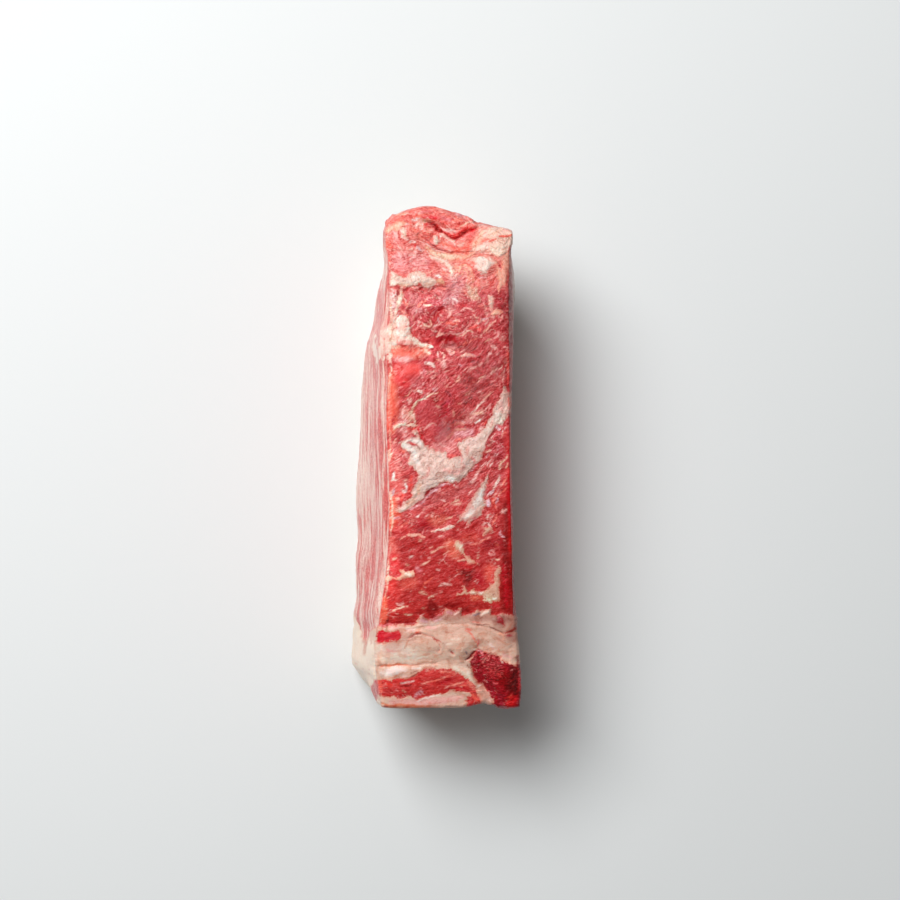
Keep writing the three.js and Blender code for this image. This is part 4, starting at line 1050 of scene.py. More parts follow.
def swirls(s):
    """Broad pale bands and deep red hollows of the chine end and the torn part; the red in the hollows is
    partly painted shade.
    """
    pale, peach, tawny = (244, 204, 190), (246, 186, 164), (236, 178, 150)
    s.fat_patch([9.8, 79.8, 10.4, 83.6, 12, 87.6, 15.6, 88.4, 16, 84, 15.4, 80, 12.6, 79.2], pale, lift=0.15)
    s.dabs([
        (SALMON, 0.6, 11.4, 82, 13.2, 83.8, 15.4, 84.4), (CORAL, 0.5, 12.4, 85.4, 14.4, 87),
        (PEACH, 0.9, 17, 86.6, 20, 87.6), (PEACH, 1.5, 9.6, 81.4, 11, 84, 13, 87),
        (PINK, 1.2, 5.6, 84.4, 7.6, 86, 9.4, 87.2), (CRIMSON, 0.5, 18.8, 75, 20, 73.4, 21, 71.8),
        (CORAL, 0.9, -14.8, 93.6, -11.6, 93.5, -8, 92.9, -5, 92.2),
        (TAN, 0.8, -11.2, 91.4, -9, 91.5, -7.2, 91.6),
        (CRIMSON, 1.0, -9.4, 90.4, -7.2, 90.4, -5.8, 89.2, -4.6, 87.8),
        (SCARLET, 0.9, -1.4, 86, 1, 85, 3.4, 86, 6.6, 87.6, 10, 88.6),
        (PINK, 0.9, -3.4, 88.8, -0.6, 87.4, 2.2, 87.2, 5, 88.6),
        (CORAL, 1.1, 1.4, 80.6, 4, 79.8, 7, 80.4, 8.4, 82.8), (SALMON, 0.9, -3.6, 83.4, -1.4, 82, 0.6, 80.6),
        (CRIMSON, 1.1, -6.2, 51.8, -5.4, 54.2, -3.9, 56.1, -2.6, 56.6),
        (CRIMSON, 1.0, -3.9, 42.9, -1.6, 43.5, 0.6, 42.9), (RED, 0.9, -11.6, 50.6, -10.6, 48),
        (CORAL, 0.9, -1, 50.6, 2.6, 50.2), (CORAL, 0.8, -12.4, 57.6, -10.8, 59.4),
        # the crimson at the far right is painted shade along the right ridge, which turns away from the lamp
        (TAN, 1.4, 7.8, 63.2, 9.6, 61.6, 11.2, 61), (CRIMSON, 0.9, 23.5, -12, 23.8, -20, 23.8, -30),
        (CRIMSON, 1.2, 21.4, -46, 22.4, -54, 22.6, -62), (CRIMSON, 1.2, -16, -30, -12, -29, -8, -29.4),
        (RED, 1.4, 4, -45, 7, -47, 10, -46),
    ])
    s.fat_lines([
        (pale, 0.75, 0.2, -12.8, 91.6, -11.8, 89.8, -10.9, 88.2),
        (pale, 1.4, 0.3, -6.9, 85.6, -5.7, 84.2, -4.8, 83.2),
        (pale, 0.75, 0.25, -4.2, 86.5, -1.4, 85.4, 0.8, 83.8, 2.2, 82.2),
        (pale, 0.8, 0.15, 2.6, 82.6, 4.2, 82.2, 5.8, 83, 6.8, 85.2),
        (peach, 1.4, 0.15, -9.4, 81.4, -6.4, 79, -2.6, 77.4, 2.4, 77, 7, 77.6, 9.6, 79.2),
        (pale, 1.3, 0.2, -7.8, 77.6, -4.4, 76.5, -1.4, 75, 0.3, 72.8, 0.8, 69.8),
        (peach, 0.55, 0.1, 3.4, 70, 4, 72.6, 5.8, 73.9, 7.8, 72.9, 8.9, 70.4, 9, 67, 8.4, 64.4),
        (peach, 0.5, 0.1, 5, 70.2, 5.9, 71.8, 7, 71, 7.3, 68.4, 6.9, 66),
        (peach, 0.5, 0.1, 1.8, 71, 2.4, 73.4, 3.4, 75.2),
        (tawny, 1.3, 0.15, -5.8, 67.6, -3.6, 67.4, -2.2, 66.4),
        (peach, 1.0, 0.1, 18.6, 73.4, 19.7, 70, 20, 66, 19.2, 62.8),
        (peach, 0.7, 0.2, 16.6, 76.6, 18.2, 75.4, 18.7, 73.2),
        (pale, 0.85, 0.25, 15.2, 62, 16.2, 60.8, 16.7, 58, 16.8, 55.4),
        (peach, 1.1, 0.2, 16.4, 54.2, 18.8, 54.8, 21.6, 55.4),
        (pale, 0.45, 0.1, -6, 44.9, -4.2, 46, -1.6, 46.4),
        (pale, 0.5, 0.1, -3.8, 39.6, -2.2, 38.2, -2.6, 36.4),
        (pale, 0.5, 0.1, -1.8, 40.8, 0.4, 40.2, 1.6, 38.6), (peach, 0.4, 0.1, -5.2, 36.2, -3.4, 34.8),
        (pale, 0.8, 0.1, 5, 37.5, 7.4, 38.1, 9.8, 37.4),
        (peach, 1.3, 0.15, -25.6, 87, -22.6, 89, -19.8, 90.4, -17.6, 90.8),
        (pale, 0.9, 0.15, -18.8, 88.6, -18.6, 86.4, -17.4, 84.2),
        (peach, 1.6, 0.2, 22.8, 79, 22.4, 75, 21.8, 70, 21.6, 66),
        (pale, 1.1, 0.25, 9.2, 76.8, 11, 75, 12.4, 73.4),
        (pale, 1.2, 0.25, 14.6, 76.4, 16.4, 75.6, 16.8, 74),
    ])
    # the hollow under the fold: a pale lip, a deep red that is painted shade in the hollow, and the same red
    # on the rim above it
    fold_red_and_shade = (222, 22, 46)
    s.dabs([
        (PINK_WHITE, 0.7, -4.4, 89.3, -2, 88.2, 0.6, 87.6, 2.6, 87.1),
        (fold_red_and_shade, 0.9, 0.4, 85.6, 3.4, 85.9, 6.6, 87.5, 10, 88.5),
        (fold_red_and_shade, 0.8, -9.2, 90.2, -7.4, 90.6, -6.2, 91.2),
        (fold_red_and_shade, 0.7, -10.8, 93.3, -7.4, 92.8, -4.6, 92.4),
    ])


def fibre_flecks(s):
    """Small pale flecks strewn along the fibres, with a fixed draw."""
    draw = np.random.default_rng(7)
    # each stretch of the length, how many, how long and how wide
    for low, high, count, reach, half in [
            (-66, -20, 30, 1.2, 0.26), (-20, 40, 80, 1.2, 0.26),
            (40, 66, 90, 0.9, 0.3), (66, 96, 40, 0.9, 0.3)]:
        for _ in range(count):
            x, y = draw.uniform(-24, 24), draw.uniform(low, high)
            angle = math.atan(fibre_slope(y)) + draw.normal(0, 0.35 if y < 40 else 0.9)
            length, width = reach * draw.uniform(0.4, 1.5), half * draw.uniform(0.5, 1.1)
            dx, dy = length * math.cos(angle), length * math.sin(angle)
            bend = draw.normal(0, 0.3) * length
            colour = (SHELL, PINK, SALMON, PEACH)[draw.integers(4)]
            if s.marbling[np.argmin(np.hypot(*(s.flat_places - (x, y)).T))] > 0.08:
                s.dabs([(colour, width, x - dx, y - dy, x - 0.1 * dy, y + bend, x + dx, y + dy)])


def ridge_lines(s):
    """A thin pale line along the left ridge."""
    y = np.linspace(60, -69, 40)
    line = np.column_stack([ridge_left(y) + 1.0 + 0.25 * np.sin(y / 5.3), y])
    half_widths = [0.15 + 0.2 * math.sin(i * 0.8) for i in range(len(y))]
    s.tint(line, half_widths, (246, 208, 184), soft=0.3)


def cut_faces(s):
    """Eye muscle above the fat cap on both cut faces, and fat at the tail, the chine end and below."""
    x, y, z = s.co.T
    cap_top = cap_lift(y) + 9.5 + 4 * swell(y, 70, 25) + 3 * smooth(-y, 0, 40)
    cap_top += 1.2 * np.sin(y / 7) + 0.7 * np.sin(y / 2.9 + x / 9)
    tail_edge = y + 76.5 + 1.4 * s.drift + 3.5 * s.ragged + 1.5 * np.sin(z / 6)
    chine_edge = 84 - y - s.drift + 3 * s.ragged + 1.5 * np.sin(z / 5 + x / 8)
    chine_edge += 0.35 * np.maximum(z - 30, 0)
    sharpness = 0.22  # of the corners where these edges of the lean meet
    edges = [z - cap_top, tail_edge, chine_edge]
    lean = -np.log(sum(np.exp(-sharpness * edge) for edge in edges)) / sharpness
    fat = np.clip(np.where(s.side > 0.02, -lean, NO_FAT), NO_FAT, 6)
    pale = (s.side * smooth(fat, -1, 1))[:, None]
    s.fat = np.where(s.side > 0, fat * s.side + NO_FAT * (1 - s.side), s.fat)
    s.fat_colour += (srgb(250, 222, 203) - s.fat_colour) * pale
    # the cut faces' lean, paler than the upper side's: partly painted light, for the left face that the lamp
    # lights from the side
    s.lean_colour += (srgb(222, 82, 76) - s.lean_colour) * 0.95 * s.side[:, None]
    # silver skin, grey and brown, low on the right face, with painted shade there
    silver_skin_and_shade = (smooth(x, 5, 20) * swell(y, 62, 24) * swell(z, 36, 26))[:, None] * s.side[:, None]
    s.fat_colour += (srgb(150, 144, 122) - s.fat_colour) * silver_skin_and_shade
    s.lean_colour += (srgb(128, 104, 84) - s.lean_colour) * silver_skin_and_shade
    s.ground[:] = s.lean_colour
    # marbling, less of it near the chine end and at the tail
    rich = 0.76 + 0.2 * smooth(s.below, 36, 50) - 0.25 * swell(y, 54, 11)
    rich += 0.2 * smooth(-s.below, -18, -5) * swell(y, -58, 14)
    rich -= 0.6 * smooth(-y, 83, 87) * smooth(-x, 5, 15)
    rich += 0.16 * smooth(s.below, 22, 38) - 0.25 * smooth(-s.below, -24, -8) * swell(y, -8, 20)
    s.marbling += (rich - s.marbling) * s.side
    # a lump of fat on the left face
    lump = 6 * (1 - np.hypot((y - 41 + 0.25 * (z - 50)) / 5, (z - 50) / 12)) + 8 * s.ragged
    left = s.side * (x < 0) * (lump > -4)
    s.fat = np.where(left > 0.5, np.maximum(s.fat, lump), s.fat)
    s.fat_colour += (srgb(240, 212, 200) - s.fat_colour) * (left * smooth(lump, -1, 1))[:, None]


def folds(s):
    """Grooves and swellings that the plain solid is too coarse for."""
    # painted shade in the fold under the lobe: a deep red line along it
    s.tint([(-8.4, 91), (-5.4, 89), (-2.8, 87.2), (0, 85.6), (2, 85.1), (4.6, 86.4), (7, 87.8)],
           [0.5, 1.1, 0.7, 1, 1, 0.8, 0.3], (180, 14, 30), soft=0.5, strength=0.9)
    s.creases([
        (0.6, 0.6, 0.15, 0.15, -9.6, 91.4, -7.4, 90.8, -5.2, 88.6, -2.8, 86.7, -0.2, 85, 2, 84.4, 4.8, 85.7,
         7.4, 87.5, 10.8, 88.7),
        (0.5, 0.5, 0.75, 0, -7.6, 90.6, -6.4, 90, -5.2, 88.4, -3.4, 86.9),
        (0.5, 0.4, 0.35, 0, 0.8, 85, 2.4, 84.9, 4.2, 86, 6.2, 87.2),
        (0.45, 0.6, 0.25, 0.2, -12.4, 86, -9.2, 83.3, -5.8, 80.8, -2.5, 79.3, 1, 78.7),
        (0.5, 0.5, 0.1, 0.2, 1, 78.7, 5, 78.6, 9, 79.4), (0.5, 0.5, 0.3, 0, -21, 87, -17, 85.6, -15.2, 83),
        (0.5, 0.35, 0.15, 0, -16.6, 90.4, -13, 89.4, -10.4, 87),
        (0.5, 0.5, 0.1, 0, -23.6, 79.2, -19, 79.5, -14.6, 79.1),
        (0.5, 0.7, 0.35, 0, 9.8, 78.4, 14.4, 78, 18.3, 76.9, 20.4, 74.4),
        (0.4, 0.45, 0.4, 0, -22.6, 65.2, -20.4, 64.4, -17.6, 63.8, -14.8, 65.8, -12, 65, -9.2, 63.6,
         -5.6, 64.9, -2, 65.2),
        (0.5, 0.4, 0.3, 0, -15, 48, -13.2, 44.6, -10, 42.4),
        (0.3, 0.2, 0, 0, -10.6, -18.3, -7.4, -16.2, -4.7, -14.4, -1.3, -13.2, 2.4, -13.6, 6, -11.4),
        (0.7, 0.5, 0.6, 0, 7.9, 34.9, 9.6, 35.6), (1.2, 0.5, 0.2, 0, -4.6, 43, -2, 43.6, 0.6, 43.6),
        (1.4, 0.6, 0.4, 0, -5, 54, -3, 56.4), (1.0, 0.5, 0.3, 0, -5.6, 47, -5, 49),
        (0.5, 0.3, 0.1, 0, -17.4, -71.9, -6.9, -70.1, 3, -69.5, 10.7, -70, 16.5, -71.3, 21.2, -73,
         26.4, -72.6),
        (0.4, 0.4, 0.35, 0.1, -16.6, -75.2, -14.6, -73.8, -12, -73.5, -9, -74, -6, -75.8, -4, -78.6,
         -4.4, -80.6),
        (0.5, 0.35, 0.22, 0, -28.6, -86.4, -18.7, -86, -10.5, -85.8, -5, -85),
        (0.8, 0.7, 0.45, 0, 0.4, -81, 1.2, -81.5), (0.45, 1.0, 1.0, 0, 6.6, -83.9, 7.8, -82.8, 9.4, -81),
        (0.6, 0.7, 0.2, 0, 10.6, -79, 14, -81.8, 19.2, -83),
        (0.6, 0.8, 0.2, 0, 9, -86, 10, -90.6, 13.6, -95.8, 17.4, -101.6),
    ])
    s.mounds([
        (-10, -78, 5.5, 3.6, 0.35, 0), (3.4, -77, 4.6, 4.4, 0.45, 0), (17, -78.6, 5, 2.6, 0.4, -12),
        (-22, -88.6, 7, 1.8, 0.7, 6), (-6, -66.8, 14, 1.6, 0.4, 3), (13.8, 73.6, 3.4, 2.6, 0.8, 0),
        (-5.6, 83.9, 1.8, 1.2, 0.7, 0), (3.4, 80.6, 4.2, 1.2, 0.7, 4),
    ])


def tones_and_painted_light(s):
    """Wide soft areas, deeper in colour or paler: partly the meat's own colour, partly painted light and
    shade on the tail band's slopes, in the fold, along the right ridge and on a crest in shadow.
    """
    # each a half width, the factors for red and for the rest, how soft it is, then x and y in turn
    for half, red, rest, soft, *numbers in [
        # chine end
        (3, 1, 1.2, 2.5, -22, 88, -14, 86), (2.6, 1.02, 1.22, 2.5, -14, 80, -6, 82, -1, 86, 0, 79),
        (2, 1, 1.15, 2.5, -22, 79, -12, 78), (1.5, 1.03, 1.15, 2.5, -12, 95, -4, 97),
        # the first: painted shade in the fold's gap
        (1.4, 0.86, 0.4, 2, 7, 84, 9, 86), (1.3, 1.04, 1.24, 2, -25, 87, -24.6, 77, -24, 67),
        (1.6, 1.02, 1.22, 2, -10, 78.4, -2, 78),
        # painted light: the fold's shaded wall made bright red, as if lit through
        (0.7, 1.5, 0.95, 1.2, -5, 89.4, -2, 87, 1.6, 86.4, 5, 88, 10, 90),
        (4, 1, 1.08, 2.5, -20, 74, -8, 72), (1.2, 1.1, 1, 2, 0, 88, 8, 90),
        # the first: painted shade at the left of the fold's gap
        (1.4, 0.9, 0.68, 1.5, -7.4, 89.6, -4.6, 89), (1.6, 0.95, 0.84, 2.5, 17, 84, 22, 88),
        (1.4, 1, 1.2, 2.5, 10, 78.6, 20, 78.4), (1.4, 0.95, 0.82, 2.5, 11, 74, 8.6, 70),
        # the second: painted shade along the right ridge, which turns away from the lamp
        (2.2, 1.02, 1.35, 2.5, -2, 71, 4, 71), (1.6, 0.7, 0.54, 2.5, 22.8, 77, 23.4, 66, 22.4, 54, 22.4, 45),
        # torn part
        (2, 1.1, 1.55, 2, -22, 61.6, -21, 60), (2.4, 1.36, 2.2, 2.5, -10, 58.6, -5, 58.6),
        (1.5, 1.03, 1.25, 2.5, 8, 61, 14, 61, 17.6, 57),
        (2.1, 1.05, 1.2, 2.5, -22, 47, -22.6, 40, -20, 36.6), (2, 1.06, 1.2, 2.5, -14, 50, -12, 43),
        (1.7, 0.8, 0.66, 2, -1, 42.4, 8, 42, 16, 42.6), (2, 0.94, 0.84, 2.5, 21, 30, 14, 22),
        # eye muscle: paler at the left, deepest along the fibres at the right
        (3.9, 1.18, 1.34, 4, -16, 19, -10, 22, -7, 31, -8, 39),
        (2.3, 1.1, 1.2, 2.5, -12, 8, -10, 22, -10, 33), (2.5, 1.1, 1.1, 3, -2, 24, 0, 29),
        (3.2, 0.8, 0.64, 3, -3, 4, 1, 11, 8, 24, 13, 31, 18, 36),
        # the first: painted shade along the right ridge
        (1.6, 0.86, 0.72, 1.5, 23.5, 44, 24, 28, 24, 14), (2.7, 1.04, 1.18, 2.5, -20, 38, -15, 33, -20, 26),
        (2, 0.86, 0.52, 2, 6.6, 29, 9.6, 26.6), (1.9, 0.78, 0.46, 2, -1, 7, 0, 10.6, 5, 14),
        (2.3, 0.9, 0.8, 2, 10, 22, 18, 30, 22, 36), (2.1, 1.12, 1.3, 2, -4, 37, 3, 39),
        (1.6, 1.06, 1.25, 1.5, -22, 36, -15, 37), (1.2, 1.02, 0.78, 1, -25, 12, -25, 0, -25, -14),
        (2, 0.92, 0.84, 2, 13, 22, 18, 29), (1.8, 1.14, 1.5, 2, -8, 46, -7.4, 39),
        # beside the fat patch
        (2.3, 1.06, 1.45, 2.5, -19, 11, -21, 3, -21, -6, -20, -15),
        (2.2, 1.1, 1.22, 2.5, -19, -20, -15, -26), (1.6, 1, 1.22, 2, 9, 9.6, 14, 13),
        (2, 1.1, 1.4, 2.5, 21, 12, 20, 6, 20, 0), (1.4, 1.16, 1.3, 1.5, -1.6, -12.6, 1.6, -12.6),
        (1.4, 1.12, 1.15, 2, 7, -8, 9, -4), (1.2, 1.1, 1.14, 2, -6, -14.6, 3, -12.4),
        (1.7, 0.84, 0.76, 2, -10, -21, 0, -18, 7, -14.6, 10, -12),
        (1.7, 1.05, 1.35, 2, 16, -13, 14.4, -19, 13, -28), (1.5, 1, 1.15, 2.5, 23, -8, 18, -18),
        # smooth part
        (1.7, 1.08, 1.4, 2.5, -4, -31, 0, -33, 2, -38), (1.2, 1, 1.14, 2.5, -19, -26.6, -11, -27),
        (2.4, 1.05, 1.25, 2.5, -20, -51, -14, -48), (2.3, 1.36, 1.5, 2.5, -24.4, -53, -24.6, -60, -23, -66),
        (1.7, 1.06, 1.3, 1.5, -24.6, -20, -24.6, -34, -24.8, -48), (1.4, 0.76, 0.5, 1.5, 1, -64.4, 4, -64),
        (1.4, 0.84, 0.78, 1.5, -10, -69, -7, -68.6), (1.6, 0.94, 0.84, 2.5, 0, -50, 10, -48, 20, -44),
        (1.4, 0.9, 0.78, 2, -15, -31.4, -11, -30), (2, 1.06, 1.22, 2.5, -18, -65, -10, -61),
        (1.8, 1.08, 1.26, 2, 2, -59.4, 10, -58.6, 20, -61), (1.6, 1.04, 1.2, 2, 12, -54, 15, -50),
        (1.4, 0.97, 0.86, 2.5, -14, -38.6, -4, -38), (1.4, 1.1, 1.25, 2, -17, 45, -13, 43),
        (1.4, 1.1, 1.4, 1.5, -7, 42, -6.4, 38), (1.4, 0.9, 0.66, 1.5, 2, 41.6, 6, 41),
        (1.4, 0.98, 0.82, 1.5, -20, 38.4, -16, 38), (1.8, 0.92, 0.7, 2, 8, 27, 11, 24.6),
        (1.8, 0.94, 0.72, 2, -1.4, 12, -1, 7), (2, 1.06, 1.3, 2, -13, 24, -11.6, 20),
        (2, 1.1, 1.2, 2, -15, 15, -15, 8), (1.7, 1.1, 1.25, 2, -21, -1, -17, -5, -15, -9),
        (1.6, 1.16, 1.2, 1.5, -24, -19, -17, -18.6, -8, -14.6, 0, -12.6),
        (1.4, 1.06, 1.35, 1.5, 14.4, -24, 12.6, -28), (2, 0.98, 0.9, 2, 22, 30, 14, 18, 22, 20),
        (1.7, 1.05, 1.2, 2, 11, 11, 14, 10, 20, 9), (1.4, 1.04, 1.22, 1.5, 0, 70, 8, 71.4),
        # the second: painted shade in the fold's gap
        (1.2, 1.12, 1.3, 1.2, -24, 66, -18, 65.6, -12, 65.8), (1.4, 0.96, 0.76, 1.5, 5, 86.6, 9, 86),
        (1, 0.98, 0.86, 1.5, 10, 83, 16, 83), (1.6, 0.97, 0.8, 2, -18, -39, -8, -38),
        (2, 0.98, 0.84, 2, -9, -26, -5, -23), (1.7, 1.08, 1.2, 1.5, 12, -59.6, 19, -62),
        # tail
        (2, 0.95, 0.84, 2, -20, -72, -16, -75), (0.8, 1.15, 1.4, 1, -27.6, -74, -27, -71),
        (1.4, 0.95, 0.88, 1.5, -24, -88, -14, -88), (1.3, 1.06, 1.25, 1.5, -10, -89, 0, -88.6, 7, -92),
        # painted shade on the band's upper slope, which faces the lamp
        (3.1, 0.87, 0.81, 3, -22, -76, -10, -72, 4, -70, 16, -70),
        (3.7, 1.08, 0.62, 2, 14, -84, 19, -89, 24, -96), (2.4, 1.12, 1, 2, -24, -92, -6, -94),
        # both: painted shade at the fat band's right end, where it curves down
        (2.2, 0.9, 0.8, 2, 20, -76, 23, -73), (2.2, 0.5, 0.34, 2.5, 20, -69, 24, -67, 25.4, -70, 25.6, -75),
        # the second: painted light on the band's lower slope, which faces away from the lamp
        (1.6, 0.94, 0.82, 2, -25, -78.4, -21, -78), (1.9, 1.4, 1.42, 2, -27, -83.4, -10, -82.6, 3, -81.6),
        # the first: painted light on the band's lower slope
        (1.9, 1.46, 1.46, 2, 5, -79.6, 12, -79, 20, -80), (2.2, 1.1, 1.16, 2.5, -25, -92, -8, -92, 6, -91),
        (2.4, 0.96, 0.72, 2.5, 17, -89, 21, -91), (2.3, 0.86, 0.74, 2, 12.6, -97, 14, -103),
        (1.4, 0.86, 0.66, 1.5, -0.5, 42, 7, 40.6), (1.8, 0.92, 0.66, 2, 8.4, 29, 9.6, 25),
        (1.8, 0.92, 0.68, 2, -3, 14, -1.6, 9), (1.4, 0.88, 0.74, 1.5, -6, 3, -4.6, 0.6),
        (2.2, 1.08, 1.3, 2, -13.4, 24, -11, 20), (2, 1.06, 1.22, 2, -14, 35, -11, 33),
        (1.8, 1.06, 1.3, 1.5, -24, 56, -21, 53), (1.6, 1.1, 1.32, 1.5, -8, 59, -4, 57.6),
        (1.4, 1.08, 1.32, 1.5, 1, 59, 3, 56), (1.6, 1.06, 1.24, 1.5, -11.6, 50, -9, 47),
        (1.8, 0.97, 0.78, 2, 6, -47.6, 13, -48), (1.6, 0.98, 0.82, 2, -9, -38, -4, -37),
        (1.6, 0.98, 0.86, 2, -12, -31, -6, -28), (1.8, 1.06, 1.22, 2, 18, -14, 21, -9),
        (1.6, 1.08, 1.22, 2, -23, -1, -17, -4), (1.6, 1.08, 1.2, 1.5, -21, -9, -14, -10),
        (1.4, 1.1, 1.28, 1.5, -24.6, -18, -24, -32), (1.6, 1.08, 1.26, 1.5, 17, -60.4, 19, -65),
        (1.8, 1.05, 1.2, 2, -19, 88, -12, 88.6), (1.6, 1, 1.16, 2, -19, 79.6, -12, 79),
        (1.4, 0.97, 0.86, 1.5, -7, 93, -2, 92), (1.4, 1.05, 1.2, 1.5, 3, 90.6, 8, 91),
        # the second: painted shade along the right ridge
        (2.4, 0.96, 0.74, 2, 21, -90, 24.6, -95), (1.3, 0.84, 0.66, 1.2, 23.4, 72, 23.6, 60, 23.2, 47),
        # the first: painted shade along the right ridge
        (0.8, 0.96, 0.62, 0.8, 23.6, -60, 23.8, -30, 24, -14), (1.6, 0.88, 0.94, 2, 7, -12, 12, -16),
        (1.4, 0.9, 0.92, 2, -5, 2, 4, 3), (1.8, 1.12, 1.06, 2, -20, -16, -13, -19),
        (2, 1.16, 1.12, 2, -23, -62, -17, -64), (1.4, 0.88, 0.88, 1.5, -12, -66, -4, -66.6),
        # both: painted light on the band's lower slope
        (1.4, 1.1, 1.1, 1.5, -14, -82, -4, -82), (1.4, 1.12, 1.06, 1.5, 14, -79, 23, -80.4),
        (1.6, 1.16, 1.16, 1.5, -28, -94, -25, -90),
        # small corrections from end to end
        # painted light on a crest in shadow at the chine end, then painted shade, redder, in the fold's
        # hollow
        (1.5, 1.35, 1.28, 1, -12.8, 91, -11.6, 88.8), (0.7, 1.15, 0.75, 0.8, 1, 85.4, 9.6, 88.4),
        (2, 0.94, 0.92, 1.5, -20, 45, -18, 50), (1.8, 0.88, 0.74, 1.5, -22, 14, -22, 27),
        (3, 0.92, 0.88, 2.5, 6, 12, 13, 19), (3, 0.95, 1.1, 2, 18, -10, 20, 2),
        (1.6, 0.92, 0.9, 1, 9, -23, 12, -18), (5, 0.93, 1.02, 3, 7, -40, 20, -42),
        # the first: painted shade along the right ridge
        (1, 0.87, 0.79, 1, 22.8, -60, 22.8, -20), (4, 1.01, 1.08, 3, -18, -60, -6, -60),
        (3, 1, 1.15, 2, 4, -61, 14, -61), (1, 0.88, 0.9, 1, -10, -67.6, 18, -67.6),
        (1.4, 0.95, 1.35, 1, -27, -74.4, -22, -74.6), (2.4, 0.95, 0.88, 1.5, -26, -81, -19, -81),
        (0.9, 0.9, 0.88, 0.8, -26, -88.6, -20, -88.8), (2, 1.02, 1.09, 2, -25, -93.6, -3, -93.6),
        (2.2, 1.12, 1.42, 2, 4.6, -93, 7.6, -94), (1.4, 0.91, 0.86, 0.8, -23, -101, 4, -101),
        (4, 1.02, 0.72, 2, 15, -90, 22, -92),
    ]:
        s.shade(np.reshape(numbers, (-1, 2)), half, red, rest, soft)


def rough_grain(s):
    """Unevenness of the meat: coarse where it is torn, long along the fibres, slight on fat."""
    along, across, down = grain(s).T
    on_fat = smooth(s.fat, -0.5, 0.5)
    torn = torn_part(s)

    def unevenness(lengthwise, crosswise):
        return np.array([noise.noise(Vector((a * lengthwise, b * crosswise, c * crosswise)))
                         for a, b, c in zip(along, across, down)])

    coarse, fine = unevenness(0.25, 0.42), unevenness(0.5, 0.95)
    height = 0.2 * coarse * (1 + 1.5 * torn) + 0.12 * fine * (1 + 1.2 * torn)
    fat_share = 1 - 0.4 * on_fat + 1.2 * on_fat * swell(s.co[:, 1], 0, 22)
    s.rise += height * fat_share


def carve(s):
    """Moves every vertex by its rise: straight up on the upper side and outwards elsewhere."""
    up = np.clip(s.normal[:, 2:3], 0, 1) > 0.35
    direction = np.where(up, [[0.0, 0.0, 1.0]], s.normal)
    reach = s.rise * smooth(s.co[:, 2], 1.5, 8)
    moved = (s.co + direction * reach[:, None] + MIDDLE) * MM
    s.body.data.vertices.foreach_set("co", moved.ravel())
    s.body.data.update()


def keep_fields(s):
    """Writes what the material reads as attributes of the body."""
    def write(name, kind, field, values):
        layer = s.body.data.attributes.new(name, kind, "POINT")
        layer.data.foreach_set(field, np.ascontiguousarray(values, np.float32).ravel())

    opaque = np.ones((len(s.co), 1))
    numbers = {"fat": s.fat, "gap": s.gap, "marbling": s.marbling, "side": s.side, "torn": torn_part(s)}
    for name, values in numbers.items():
        write(name, "FLOAT", "value", values)
    colours = {"fat_colour": s.fat_colour, "lean_colour": s.lean_colour, "ground": s.ground, "tone": s.tone}
    for name, values in colours.items():
        write(name, "FLOAT_COLOR", "color", np.hstack([values, opaque]))
    write("grain", "FLOAT_VECTOR", "vector", grain(s))


# ---------------------------------------------------------------- the meat material

